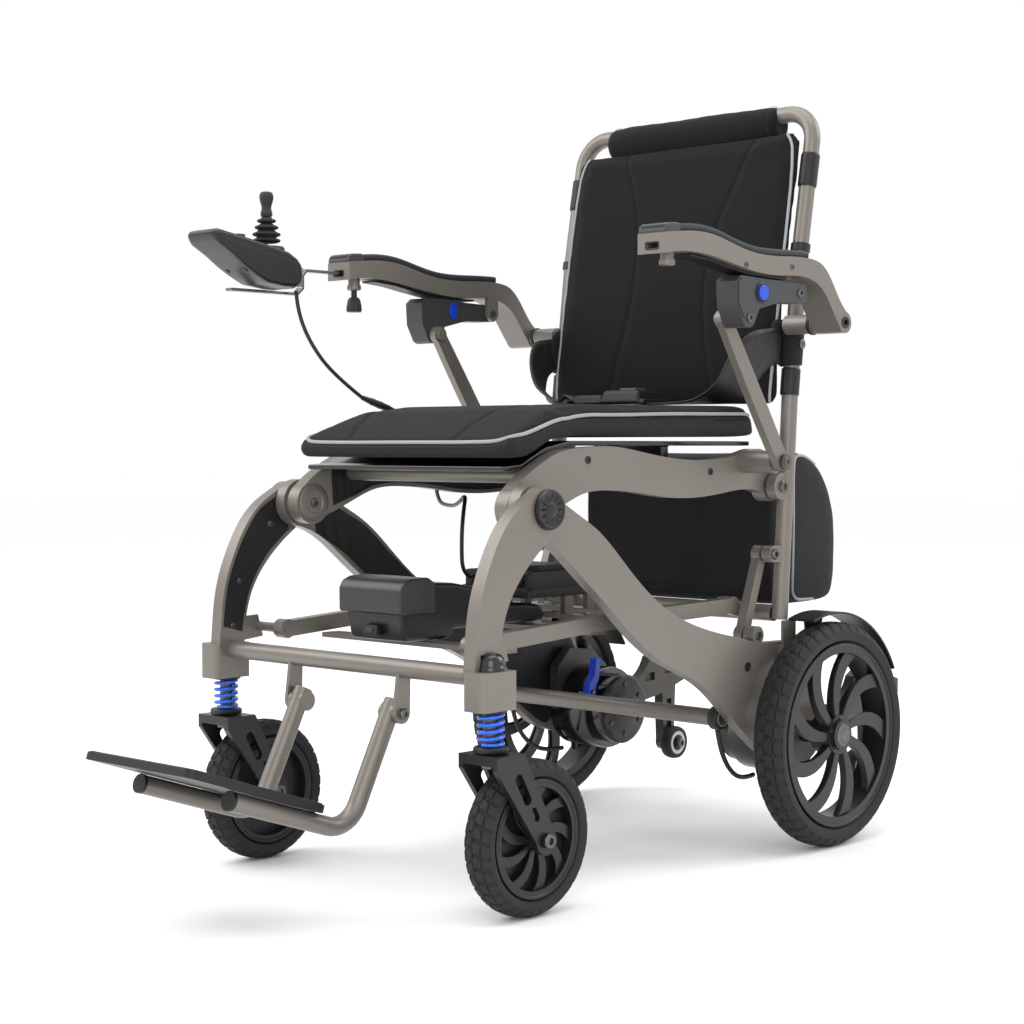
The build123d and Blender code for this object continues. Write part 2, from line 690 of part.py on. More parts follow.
# ---- armrests ----
def armrests():
    """Curved beams that flip up about a stub on the back tube, each with a pad on top."""
    top = [(400, 782), (381, 784), (345, 787), (308, 785), (270, 777), (231, 770), (171, 769),
           (110, 770), (84, 764), (67, 750), (49, 727), (22, 703)]
    bottom = [(40, 683), (62, 709), (84, 733), (109, 744), (171, 745), (231, 747), (270, 753),
              (308, 759), (344, 762), (400, 757.5)]
    with BuildPart() as left:
        with BuildSketch(side(ARM_Y[1])):
            with BuildLine():
                Spline(*top)
                Line((22, 703), (40, 683))
                Spline(*bottom)
                Line((400, 757.5), (400, 782))
            make_face()
            with Locations(ARM_PIVOT):
                Circle(14)
        extrude(amount=ARM_Y[1] - ARM_Y[0])
        drill(ARM_PIVOT, 6 + FIT, ARM_Y)
        # accessory slot in the front end, and the lug for the folding bracket
        box_between((342, ARM_Y[0] + 14, 764), (401, ARM_Y[1] - 14, 770), mode=Mode.SUBTRACT)
        with BuildSketch(side(ARM_Y[0] + 6)):
            with Locations((120, 736)):
                Rectangle(22, 26)
            with Locations(BRACKET_PIVOT):
                Circle(11)
        extrude(amount=6)
        drill(BRACKET_PIVOT, BOLT_R + FIT, (ARM_Y[0], ARM_Y[0] + 6))
        # threaded boss under the slot for a clamp knob
        with BuildSketch(Plane.XY.offset(752)) as boss:
            with Locations((AXLE_X + KNOB_X, -ARM_SLOT_Y)):
                Circle(8)
        extrude(boss.sketch, amount=10)
        with BuildSketch(Plane.XY.offset(752)) as hole:
            with Locations((AXLE_X + KNOB_X, -ARM_SLOT_Y)):
                Circle(4 + FIT)
        extrude(hole.sketch, amount=12.5, mode=Mode.SUBTRACT)
    keep_pair(left, "armrest")
    seat_of_pad = top[:8]
    with BuildPart() as pad:
        with BuildSketch(side(ARM_Y[1] - 2)):
            with BuildLine():
                Spline(*[(x, z + 9) for x, z in seat_of_pad])
                Line((110, 779), (110, 769))
                Spline(*[(x, z - 1) for x, z in reversed(seat_of_pad)])
                Line((400, 781), (400, 791))
            make_face()
        extrude(amount=ARM_Y[1] - ARM_Y[0] - 4)
        add(left.part, mode=Mode.SUBTRACT)
    keep_pair(pad, "arm_pad")


def arm_brackets():
    """Black folding bracket under each armrest, with the recess for its release button."""
    with BuildPart() as left:
        with BuildSketch(side(BRACKET_Y[1])):
            with BuildLine():
                Polyline((110, 714), (112, 737), (250, 741), (258, 734), (256, 704), (244, 682))
                ThreePointArc((244, 682), (233, 678), (222, 684))
                Polyline((222, 684), (212, 702), (170, 712), (110, 714))
            make_face()
        extrude(amount=BRACKET_Y[1] - BRACKET_Y[0])
        drill((207, 722), 10, (BRACKET_Y[1] - 9, BRACKET_Y[1]))
        disc(BRACKET_PIVOT, BOLT_R, (ARM_Y[0] - 1, BRACKET_Y[0] + 1))
    keep_pair(left, "arm_bracket")
    with BuildPart() as button:
        disc((207, 722), 9.6, (BRACKET_Y[1] - 5, BRACKET_Y[1] + 4))
        fillet(button.edges().sort_by(Axis.Y)[-1], radius=1)
    keep_pair(button, "release_button")


def arm_struts():
    """Curved struts from the brackets down to pivot bolts in the seat rails' bosses."""
    with BuildPart() as left:
        with BuildSketch(side(STRUT_Y[1])):
            with BuildLine():
                ThreePointArc((103, 518), (156, 596), (223, 692))
                Line((223, 692), (243, 688))
                ThreePointArc((243, 688), (180, 590), (121, 506))
                Line((121, 506), (103, 518))
            make_face()
            for centre in (STRUT_FOOT, STRUT_TOP):
                with Locations(centre):
                    Circle(11.5)
        extrude(amount=STRUT_Y[1] - STRUT_Y[0])
        drill(STRUT_FOOT, 6 + FIT, STRUT_Y)
        disc(STRUT_TOP, 8, (STRUT_Y[0] - 4, STRUT_Y[0]))
    keep_pair(left, "arm_strut")
    with BuildPart() as pin:
        disc(STRUT_FOOT, 6, (226, STRUT_Y[1] + 0.5))
        disc(STRUT_FOOT, 10, (STRUT_Y[1] + 0.5, STRUT_Y[1] + 5))
    keep_pair(pin, "strut_pin")


# ---- joystick, on the right armrest ----
def joystick():
    """Controller on a bent bar from the right armrest, clamped by a thumb knob."""
    y = JOYSTICK_Y
    with BuildPart() as mount:
        with BuildSketch(side(ARM_SLOT_Y + 6)):
            with BuildLine():
                Polyline((345, 769), (462, 769), (470, 761), (470, 744), (478, 736.8), (590, 736.8),
                         (590, 733), (476, 733), (466, 742), (466, 759), (460, 765), (345, 765),
                         (345, 769))
            make_face()
        extrude(amount=12)
    keep(mount, "joystick_mount")
    with BuildPart() as knob:
        with BuildSketch(Plane.XY.offset(716)):
            with Locations((AXLE_X + KNOB_X, ARM_SLOT_Y)):
                Circle(10)
        extrude(amount=20, taper=12)
        with BuildSketch(Plane.XY.offset(736)):
            with Locations((AXLE_X + KNOB_X, ARM_SLOT_Y)):
                Circle(4)
        extrude(amount=28.5)
    keep(knob, "clamp_knob")
    with BuildPart() as housing:
        with BuildSketch(side(y + 33)):
            with BuildLine():
                Polyline((487, 770), (520, 786), (560, 794), (640, 808), (650, 803), (648, 794),
                         (600, 762), (560, 740), (500, 737.5), (484, 750), (487, 770))
            make_face()
        extrude(amount=66)
        fillet(housing.edges().filter_by(Axis.Y), radius=2.5)
        with BuildSketch(Plane.XY.offset(780)):
            with Locations((AXLE_X + 540, y)):
                Circle(22)
        extrude(amount=15)
    keep(housing, "joystick_housing")
    with BuildPart() as boot:
        for height, radius in ((795, 20), (804, 18.5), (813, 15.5), (822, 12)):
            with BuildSketch(Plane.XY.offset(height)):
                with Locations((AXLE_X + 540, y)):
                    Circle(radius)
            extrude(amount=5)
            with BuildSketch(Plane.XY.offset(height + 5)):
                with Locations((AXLE_X + 540, y)):
                    Circle(radius - 5)
            extrude(amount=4)
    keep(boot, "joystick_boot")
    with BuildPart() as lever:
        with BuildSketch(Plane(origin=at(540, y, 831), x_dir=(1, 0, 0), z_dir=(0, -1, 0))):
            with BuildLine():
                Polyline((0, 0), (7, 0), (8, 4), (6, 10), (9, 20), (9, 26), (5, 31), (0, 32), (0, 0))
            make_face()
        revolve(axis=Axis(at(540, y, 831), (0, 0, 1)))
    keep(lever, "joystick_lever")


# ---- cables ----
CORD_R = 2.6


def cord(points, bends):
    with BuildPart() as piece:
        tube(([at(*point) for point in points], bends), CORD_R)
    return piece


def cables():
    """Control lead: a loop from the joystick to the in-line connector, on under the seat, then down
    to the control box; and the motor leads, from the cross tube's clamps to the drums."""
    loop = [(490, -258, 737.4), (488, -258, 712), (470, -254, 670), (437, -246, 629), (393, -236, 598)]
    keep(cord(loop, [16, 30, 36]), "joystick_cable")
    with BuildPart() as connector:
        ends = [at(393, -236, 598), at(337, -228, 579)]
        with BuildSketch(Plane(origin=ends[0], z_dir=Vector(*ends[1]) - Vector(*ends[0]))):
            Circle(4.6)
        extrude(amount=(Vector(*ends[1]) - Vector(*ends[0])).length)
    keep(connector, "cable_connector")
    run = [(337, -228, 579), (309, -224, 569.5), (288, -215, 535), (284, -208, 490), (292, -192, 456),
           (316, -150, 452), (348, -100, 454), (368, -70, 464)]
    keep(cord(run, [18, 24, 22, 20, 30, 24]), "seat_cable")
    drop = [(368.6, -69.1, 464.3), (381, -50.5, 470.5), (402, -34, 450), (410, -30, 415),
            (408, -30, 362), (377, -30, 362)]
    keep(cord(drop, [12, 16, 20, 16]), "controller_cable")
    with BuildPart() as leads:
        for sign in (1, -1):
            route = [(154, 184, 167), (148, 184, 140), (126, 182, 108), (92, 178, 90), (58, 172, 92)]
            tube(([at(x, sign * y, z) for x, y, z in route], [16, 18, 18]), 3.2)
    keep(leads, "motor_cables")


# ---- build ----
rear_leg_frame()
drive_motors()
anti_tip_arms()
anti_tip_wheels()
mudguards()
clutch_levers()
rear_wheels()
casters()
caster_forks()
caster_suspension()
front_leg_frame()
end_caps()
footrest()
seat_rails()
seat_cross_tubes()
seat_pan()
seat_cushion()
base_frame()
battery_pack()
controller_box()
back_tube()
back_links()
back_upholstery()
armrests()
arm_brackets()
arm_struts()
joystick()
cables()
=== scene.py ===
"""Looks of the folding power wheelchair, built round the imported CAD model."""
import math

import bmesh
import bpy
import numpy as np
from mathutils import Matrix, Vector
from mathutils.bvhtree import BVHTree


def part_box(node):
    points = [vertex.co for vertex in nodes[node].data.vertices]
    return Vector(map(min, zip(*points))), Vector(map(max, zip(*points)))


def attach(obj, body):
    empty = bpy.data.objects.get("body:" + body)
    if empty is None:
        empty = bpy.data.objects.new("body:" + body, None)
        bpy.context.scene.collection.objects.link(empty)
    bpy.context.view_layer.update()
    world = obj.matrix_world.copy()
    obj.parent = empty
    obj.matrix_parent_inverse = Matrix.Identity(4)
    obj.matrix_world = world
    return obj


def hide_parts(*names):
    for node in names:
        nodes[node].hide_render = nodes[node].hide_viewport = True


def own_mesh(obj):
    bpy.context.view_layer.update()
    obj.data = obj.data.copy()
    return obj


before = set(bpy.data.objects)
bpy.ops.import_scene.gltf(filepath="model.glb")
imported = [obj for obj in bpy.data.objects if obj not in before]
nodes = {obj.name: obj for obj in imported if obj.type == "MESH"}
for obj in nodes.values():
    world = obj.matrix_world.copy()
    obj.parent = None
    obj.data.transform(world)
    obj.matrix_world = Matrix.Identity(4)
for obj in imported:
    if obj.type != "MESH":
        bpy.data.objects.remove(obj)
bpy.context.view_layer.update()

# ---- places: millimetres ahead of the rear axle, to the occupant's left, above the floor ----
tyre_low, tyre_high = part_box("rear_tyre_left")
AXLE_X = (tyre_low.x + tyre_high.x) / 2 * 1000
AXLE_Z = (tyre_low.z + tyre_high.z) / 2 * 1000
CASTER_HUB = (570, 234, 90)
STEM = (629, 234)
HUB = (534, 460)
BACK_PIVOT = (49, 479)
STRUT_FOOT = (112, 512)
STRUT_TOP = (233, 690)
TIP_WHEEL = (-196, 73)
STICK = (540, -258)
HEAD_ROLL = (-31, 973)
DRIVE_Y = 254
TUBE_Y = 205
ARM_Y = 275
LEG_FACE_Y = 212.9
BRACKET_FACE_Y = 291.9
FOOTPLATE_TILT = math.radians(18.5)
CORD_R = 2.6
MOTOR_CORD_R = 3.2
SIDES = ((1, "left"), (-1, "right"))
UP = (0, 0, 1)

# ---- edges in degrees, cloth grid in metres, stitches in millimetres ----
SHARP = 38
BEVEL_FROM = 32
CLOTH_GRID = 0.0055
CLOTH_FRAMES = 20
CLOTH_PRESSURE = 4.0
STITCH_PITCH, STITCH_LENGTH, STITCH_R = 4.6, 2.9, 0.55

# ---- looks: a wave texture of scale 1 repeats every so many metres ----
WAVE_PERIOD = 0.314
ROUGHNESS_SPREAD = 0.07

# ---- studio, in metres; the camera stands where the photo was taken from ----
FLOOR_HALF = 14
LAMPS_AIM = (0, 0, 0.45)
LAMPS = (((1.6, -1.9, 2.6), 2.4, 52), ((2.6, 2.4, 1.7), 2.0, 30), ((-2.2, 1.6, 2.4), 1.8, 34),
         ((0.0, 0.0, 3.4), 2.6, 44))
CAMERA_PLACE = (1.8605, 1.7512, 0.5338)
CAMERA_VIEW = (-0.7262, -0.6867, -0.0338)
CAMERA_LENS, CAMERA_SENSOR = 69.53, 36


def at(x, y, z):
    return Vector((AXLE_X + x, y, z)) / 1000


# ---- materials ----
def link(tree, source, target):
    tree.links.new(source, target)


def texture(tree, kind, scale, coords, **settings):
    node = tree.nodes.new("ShaderNodeTex" + kind)
    node.inputs["Scale"].default_value = scale
    for name, value in settings.items():
        if name in node.inputs:
            node.inputs[name].default_value = value
        else:
            setattr(node, name, value)
    link(tree, coords, node.inputs["Vector"])
    return node


def ranged(tree, factor, low, high):
    """A factor between 0 and 1, carried over to the range from low to high."""
    node = tree.nodes.new("ShaderNodeMapRange")
    node.inputs["To Min"].default_value = low
    node.inputs["To Max"].default_value = high
    link(tree, factor, node.inputs["Value"])
    return node.outputs["Result"]


def weave_height(tree, coords, axes, pitch):
    """Over-and-under threads: two crossed waves, in the two directions that lie in the cloth."""
    product = tree.nodes.new("ShaderNodeMath")
    product.operation = "MULTIPLY"
    for axis, socket in zip(axes, product.inputs):
        wave = texture(tree, "Wave", WAVE_PERIOD / pitch, coords, bands_direction=axis, Distortion=0.3)
        link(tree, wave.outputs["Fac"], socket)
    return product.outputs[0]


def material(name, color, roughness, metallic=0.0, mottle=0.10, mottle_scale=18.0, grain_scale=900.0,
             bump=0.05, weave_and_shade=None, fleck=None, **sockets):
    """Procedural material: slow colour variation, fine grain in the roughness and a bump."""
    made = bpy.data.materials.new(name)
    made.use_nodes = True
    tree = made.node_tree
    shader = tree.nodes["Principled BSDF"]
    shader.inputs["Metallic"].default_value = metallic
    for socket, value in sockets.items():
        shader.inputs[socket.replace("_", " ").title().replace("Ior", "IOR")].default_value = value
    coords = tree.nodes.new("ShaderNodeTexCoord").outputs["Object"]
    slow = texture(tree, "Noise", mottle_scale, coords, Detail=3.0)
    grain = texture(tree, "Noise", grain_scale, coords, Detail=2.0)
    ramp = tree.nodes.new("ShaderNodeMixRGB")
    ramp.inputs["Color1"].default_value = (*[c * (1 - mottle) for c in color], 1)
    ramp.inputs["Color2"].default_value = (*[min(1, c * (1 + mottle)) for c in color], 1)
    link(tree, slow.outputs["Fac"], ramp.inputs["Fac"])
    base = ramp.outputs["Color"]
    height = grain.outputs["Fac"]
    if weave_and_shade:
        axes, pitch, contrast = weave_and_shade
        height = weave_height(tree, coords, axes, pitch)
        # painted shade and light: the weave's low threads are darkened and its raised threads lightened
        base = tinted(tree, base, height, contrast)
    if fleck:
        spots = texture(tree, "Voronoi", grain_scale, coords)
        base = tinted(tree, base, spots.outputs["Distance"], fleck)
    link(tree, base, shader.inputs["Base Color"])
    spread = ranged(tree, grain.outputs["Fac"], max(0.02, roughness - ROUGHNESS_SPREAD),
                    min(1.0, roughness + ROUGHNESS_SPREAD))
    link(tree, spread, shader.inputs["Roughness"])
    relief = tree.nodes.new("ShaderNodeBump")
    relief.inputs["Strength"].default_value = 1.0
    relief.inputs["Distance"].default_value = bump / 1000
    link(tree, height, relief.inputs["Height"])
    link(tree, relief.outputs["Normal"], shader.inputs["Normal"])
    return made


def tinted(tree, base, factor, contrast):
    """The base colour, darker where the factor is low."""
    mixed = tree.nodes.new("ShaderNodeVectorMath")
    mixed.operation = "SCALE"
    link(tree, base, mixed.inputs[0])
    link(tree, ranged(tree, factor, 1 - contrast, 1 + contrast), mixed.inputs["Scale"])
    return mixed.outputs[0]


TITANIUM = material("titanium_paint", (0.178, 0.161, 0.142), 0.36, 0.40, mottle=0.05, fleck=0.10,
                    grain_scale=1400, bump=0.03)
DARK_TITANIUM = material("cast_grey", (0.060, 0.055, 0.048), 0.45, 0.5, fleck=0.12, grain_scale=900,
                         bump=0.08)
BLACK_PLASTIC = material("black_plastic", (0.010, 0.010, 0.011), 0.44, grain_scale=1100, bump=0.05,
                         specular_ior_level=0.35)
SATIN_BLACK = material("satin_black", (0.011, 0.011, 0.012), 0.34, 0.1, grain_scale=1300, bump=0.02,
                       specular_ior_level=0.4)
GLOSS_BLACK = material("gloss_black", (0.006, 0.006, 0.007), 0.16, grain_scale=600, bump=0.008,
                       coat_weight=0.3)
DARK_GREY = material("dark_grey_plastic", (0.034, 0.035, 0.037), 0.48, grain_scale=900, bump=0.06,
                     specular_ior_level=0.4)
RUBBER = material("tyre_rubber", (0.015, 0.015, 0.016), 0.66, mottle=0.25, mottle_scale=30,
                  grain_scale=700, bump=0.10, specular_ior_level=0.3)
ARM_FOAM = material("arm_pad_skin", (0.021, 0.022, 0.024), 0.55, fleck=0.10, grain_scale=420, bump=0.12,
                    specular_ior_level=0.3)
# the last number of each fabric's and the webbing's weave sets how much shade is painted into the low
# threads and light onto the raised ones
SEAT_FABRIC, BACK_FABRIC = (
    material(name, (0.0080, 0.0080, 0.0088), 0.86, mottle=0.18, mottle_scale=9,
             weave_and_shade=(axes, 0.0016, 0.25), bump=0.22, specular_ior_level=0.15, sheen_weight=0.04,
             sheen_roughness=0.5)
    for name, axes in (("seat_fabric", ("X", "Y")), ("back_fabric", ("Y", "Z"))))
BAND_FABRIC = material("edge_band_fabric", (0.013, 0.0135, 0.015), 0.80, mottle=0.15,
                       weave_and_shade=(("X", "Z"), 0.0018, 0.14), bump=0.14, specular_ior_level=0.2,
                       sheen_weight=0.05)
WEBBING = material("webbing", (0.014, 0.014, 0.015), 0.50, weave_and_shade=(("Y", "X"), 0.0024, 0.30), bump=0.25,
                   specular_ior_level=0.55)
PIPING = material("piping", (0.28, 0.285, 0.30), 0.62, fleck=0.12, grain_scale=800, bump=0.12)
STITCH = material("stitching", (0.022, 0.023, 0.026), 0.7, fleck=0.15, grain_scale=2500, bump=0.05)
CHROME = material("satin_chrome", (0.20, 0.20, 0.205), 0.22, 1.0, mottle=0.05, grain_scale=500, bump=0.01)
STEEL = material("dark_steel", (0.12, 0.115, 0.11), 0.32, 0.9, fleck=0.08, grain_scale=900, bump=0.02)
BLUE = material("blue_plastic", (0.002, 0.045, 0.50), 0.35, mottle=0.08, grain_scale=700, bump=0.02,
                coat_weight=0.1)
BLUE_STEEL = material("blue_spring_paint", (0.006, 0.100, 0.62), 0.25, 0.1, mottle=0.06,
                      grain_scale=900, bump=0.01, coat_weight=0.4)
HOOD_GREY = material("hood_grey_plastic", (0.024, 0.0235, 0.023), 0.36, 0.15, fleck=0.08, grain_scale=900,
                     bump=0.03)
WHITE_RING = material("white_plastic", (0.50, 0.49, 0.475), 0.40, mottle=0.06, grain_scale=600, bump=0.02)
CABLE = material("cable_sheath", (0.010, 0.010, 0.011), 0.42, mottle=0.15, mottle_scale=60,
                 grain_scale=800, bump=0.03, specular_ior_level=0.4)


# ---- mesh helpers ----
def placed(name, data):
    made = bpy.data.objects.new(name, data)
    bpy.context.scene.collection.objects.link(made)
    return made


def piece(name, vertices, faces, finish, body, sharp=SHARP):
    """A mesh piece with outward normals, smooth but for its sharp edges, riding on a CAD body."""
    mesh = bpy.data.meshes.new(name)
    mesh.from_pydata([tuple(v) for v in vertices], [], faces)
    working = bmesh.new()
    working.from_mesh(mesh)
    bmesh.ops.remove_doubles(working, verts=working.verts, dist=1e-6)
    bmesh.ops.recalc_face_normals(working, faces=working.faces)
    working.to_mesh(mesh)
    working.free()
    mesh.shade_smooth()
    mesh.set_sharp_from_angle(angle=math.radians(sharp))
    made = placed(name, mesh)
    mesh.materials.append(finish)
    if body:
        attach(made, body)
    return made


def rounded(obj, width, segments=3):
    """Rounds an object's sharp edges by so many millimetres."""
    edge = obj.modifiers.new("rounded_edges", "BEVEL")
    edge.width = width / 1000
    edge.segments = segments
    edge.limit_method = "ANGLE"
    edge.angle_limit = math.radians(BEVEL_FROM)
    edge.use_clamp_overlap = True
    shading = obj.modifiers.new("even_shading", "WEIGHTED_NORMAL")
    shading.keep_sharp = False
    return obj


def basis(axis):
    """Two directions across an axis."""
    axis = Vector(axis).normalized()
    first = axis.orthogonal().normalized()
    if abs(axis.z) < 0.9:
        first = Vector((0, 0, 1)).cross(axis).normalized()
    return first, axis.cross(first).normalized(), axis


def lathe(name, profile, centre, axis, finish, body, steps=64, shape=None, sharp=SHARP):
    """Turns (radius, height) points in millimetres about an axis through a centre in millimetres.
    shape(radius, height, angle) gives a radius that changes round the piece."""
    u, v, w = basis(axis)
    origin = at(*centre)
    vertices, rings = [], []
    for radius, height in profile:
        if radius < 1e-6:
            rings.append([len(vertices)])
            vertices.append(origin + w * height / 1000)
            continue
        rings.append(list(range(len(vertices), len(vertices) + steps)))
        for i in range(steps):
            angle = 2 * math.pi * i / steps
            r = shape(radius, height, angle) if shape else radius
            vertices.append(origin + (u * math.cos(angle) + v * math.sin(angle)) * r / 1000
                            + w * height / 1000)
    faces = []
    for a, b in zip(rings, rings[1:]):
        for i in range(steps):
            j = (i + 1) % steps
            if len(a) == 1 and len(b) > 1:
                faces.append((a[0], b[i], b[j]))
            elif len(b) == 1 and len(a) > 1:
                faces.append((a[i], a[j], b[0]))
            elif len(a) > 1:
                faces.append((a[i], a[j], b[j], b[i]))
    if profile[0] != profile[-1]:
        faces += [tuple(ring) for ring in (rings[0], rings[-1]) if len(ring) > 1]
    return piece(name, vertices, faces, finish, body, sharp)


def smooth_line(points, step):
    """Points close together on a smooth line through the given ones (Catmull-Rom)."""
    p = [Vector(q) for q in points]
    p = [2 * p[0] - p[1]] + p + [2 * p[-1] - p[-2]]
    line = []
    for a, b, c, d in zip(p, p[1:], p[2:], p[3:]):
        count = max(2, int((c - b).length / step))
        for i in range(count):
            t = i / count
            line.append(0.5 * (2 * b + (c - a) * t + (2 * a - 5 * b + 4 * c - d) * t ** 2
                               + (3 * b - a - 3 * c + d) * t ** 3))
    return line + [p[-2]]


def swept(name, line, section, finish, body, up=UP, closed=False, scale=None):
    """Carries a closed section, (across, up) points in millimetres, along a line of frame points.
    scale(t) shrinks or swells the section along the way."""
    vertices = []
    for i, point in enumerate(line):
        before = line[i - 1] if i or closed else line[0]
        after = line[(i + 1) % len(line)] if i < len(line) - 1 or closed else line[-1]
        along = (after - before).normalized()
        across = along.cross(Vector(up)).normalized()
        rise = across.cross(along)
        k = scale(i / (len(line) - 1)) if scale else 1
        vertices += [point + (across * a + rise * b) * k / 1000 for a, b in section]
    return piece(name, vertices, loft_faces(len(line), len(section), closed=closed), finish, body)


def frame_line(points, step):
    return smooth_line([at(*p) for p in points], step)


def round_section(radius, count):
    return [(radius * math.cos(2 * math.pi * i / count), radius * math.sin(2 * math.pi * i / count))
            for i in range(count)]


def loft_faces(rings, n, ends=True, closed=False, start=0):
    """Faces of a skin over so many rings of n points each, counted from a start. The end rings are
    filled; a closed skin joins its last ring to its first instead."""
    faces = []
    for i in range(rings if closed else rings - 1):
        a, b = start + i * n, start + (i + 1) % rings * n
        faces += [(a + j, a + (j + 1) % n, b + (j + 1) % n, b + j) for j in range(n)]
    if ends and not closed:
        faces += [tuple(range(first, first + n)) for first in (start, start + (rings - 1) * n)]
    return faces


def slab(name, outline, y_range, finish, body, edge, sign=1):
    """A side-view outline carried across from one y to the other, with rounded edges."""
    vertices = [at(x, sign * y, z) for y in y_range for x, z in outline]
    made = piece(name, vertices, loft_faces(2, len(outline)), finish, body)
    return rounded(made, edge) if edge else made


def block(name, low, high, finish, body, edge, taper=0.0):
    """A moulded block with rounded edges, drawn in at the top by taper millimetres."""
    vertices = []
    for z, t in ((low[2], 0), (high[2], taper)):
        vertices += [at(low[0] + t, low[1] + t, z), at(high[0] - t, low[1] + t, z),
                     at(high[0] - t, high[1] - t, z), at(low[0] + t, high[1] - t, z)]
    return rounded(piece(name, vertices, loft_faces(2, 4), finish, body), edge)


def bolt(name, centre, axis, radius, height, body, finish=STEEL):
    """Socket-head screw: a domed head with a hexagonal recess."""
    def hexagon(r, h, angle):
        if r > radius * 0.55:
            return r
        turn = (angle + math.pi / 6) % (math.pi / 3) - math.pi / 6
        return r / math.cos(turn) * 0.9

    profile = [(radius, 0), (radius, height * 0.6), (radius * 0.86, height), (radius * 0.62, height),
               (radius * 0.5, height * 0.94), (radius * 0.48, height * 0.3), (0, height * 0.25)]
    return lathe(name, profile, centre, axis, finish, body, steps=36, shape=hexagon, sharp=30)


def plugged(name, centre, axis, radius, height, body):
    """A pressed-in cover plug with a raised rim."""
    profile = [(radius, 0), (radius, height * 0.7), (radius * 0.92, height), (radius * 0.8, height),
               (radius * 0.74, height * 0.6), (0, height * 0.7)]
    return lathe(name, profile, centre, axis, BLACK_PLASTIC, body, steps=48, sharp=30)


def thickened(sheet, metres, offset=0):
    """Gives a sheet its cloth's thickness, to both sides of it unless told otherwise."""
    thick = sheet.modifiers.new("cloth_thickness", "SOLIDIFY")
    thick.thickness = metres
    thick.offset = offset


def stands_for(node):
    """Hides the CAD node that a new piece stands in for."""
    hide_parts(node)


# ---- soft goods ----
def settled(obj, cap, held=None):
    """Voxel remesh, a short cloth simulation under pressure, a cap on its motion, one subdivision.
    held(point) gives how freely a point may move, from 0 to 1."""
    def apply(name):
        with bpy.context.temp_override(object=obj, active_object=obj, selected_objects=[obj]):
            bpy.ops.object.modifier_apply(modifier=name)

    grid = obj.modifiers.new("grid", "REMESH")
    grid.mode = "VOXEL"
    grid.voxel_size = CLOTH_GRID
    apply(grid.name)
    rest = np.array([v.co for v in obj.data.vertices])
    cloth = obj.modifiers.new("cloth", "CLOTH")
    cloth.settings.use_pressure = True
    cloth.settings.uniform_pressure_force = CLOTH_PRESSURE
    cloth.settings.effector_weights.gravity = 0
    cloth.settings.quality = 4
    for number in range(1, CLOTH_FRAMES + 1):
        bpy.context.scene.frame_set(number)
    apply(cloth.name)
    bpy.context.scene.frame_set(1)
    moved = np.array([v.co for v in obj.data.vertices])
    shift = moved - rest
    length = np.linalg.norm(shift, axis=1, keepdims=True)
    shift *= np.minimum(1, cap / 1000 / np.maximum(length, 1e-9))
    if held:
        shift *= np.array([held(p) for p in rest])[:, None]
    obj.data.vertices.foreach_set("co", (rest + shift).ravel())
    smooth = obj.modifiers.new("smooth", "SUBSURF")
    smooth.levels = 1
    apply(smooth.name)
    obj.data.shade_smooth()


def surface_of(obj):
    graph = bpy.context.evaluated_depsgraph_get()
    return BVHTree.FromObject(obj, graph)


def laid_on(tree, line, lift=0.0):
    """The line's points moved to the nearest place on a surface, then out by so many millimetres."""
    found = []
    for point in line:
        place, normal, _, _ = tree.find_nearest(point)
        found.append(place + normal * lift / 1000)
    return [a if i in (0, len(found) - 1) else (found[i - 1] + a + found[i + 1]) / 3
            for i, a in enumerate(found)]


def creased(obj, lines, depth, width):
    """Presses seams into a pad: points near a line move inwards."""
    tree = np.array([p for line in lines for p in line])
    mesh = obj.data
    points = np.array([v.co for v in mesh.vertices])
    normals = np.array([v.normal for v in mesh.vertices])
    for start in range(0, len(points), 4000):
        part = points[start:start + 4000]
        gap = np.sqrt(((part[:, None] - tree[None]) ** 2).sum(2)).min(1)
        sink = depth / 1000 * np.exp(-(gap / (width / 1000)) ** 2)
        points[start:start + 4000] = part - normals[start:start + 4000] * sink[:, None]
    mesh.vertices.foreach_set("co", points.ravel())
    mesh.update()


def stitched(name, line, body):
    """A row of separate stitches along a line."""
    vertices, faces = [], []
    travelled, next_at = 0.0, STITCH_PITCH
    for a, b in zip(line, line[1:]):
        run = (b - a).length * 1000
        while travelled + run >= next_at:
            middle = a.lerp(b, (next_at - travelled) / run)
            along = (b - a).normalized()
            u, v, _ = basis(along)
            faces += loft_faces(4, 6, start=len(vertices))
            for offset, k in ((-0.5, 0.3), (-0.3, 1), (0.3, 1), (0.5, 0.3)):
                for i in range(6):
                    angle = math.pi * i / 3
                    vertices.append(middle + along * offset * STITCH_LENGTH / 1000
                                    + (u * math.cos(angle) + v * math.sin(angle)) * STITCH_R * k / 1000)
            next_at += STITCH_PITCH
        travelled += run
    return piece(name, vertices, faces, STITCH, body)


def crushed(parts):
    """Gives each piece a mesh of its own."""
    for part in parts:
        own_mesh(part)


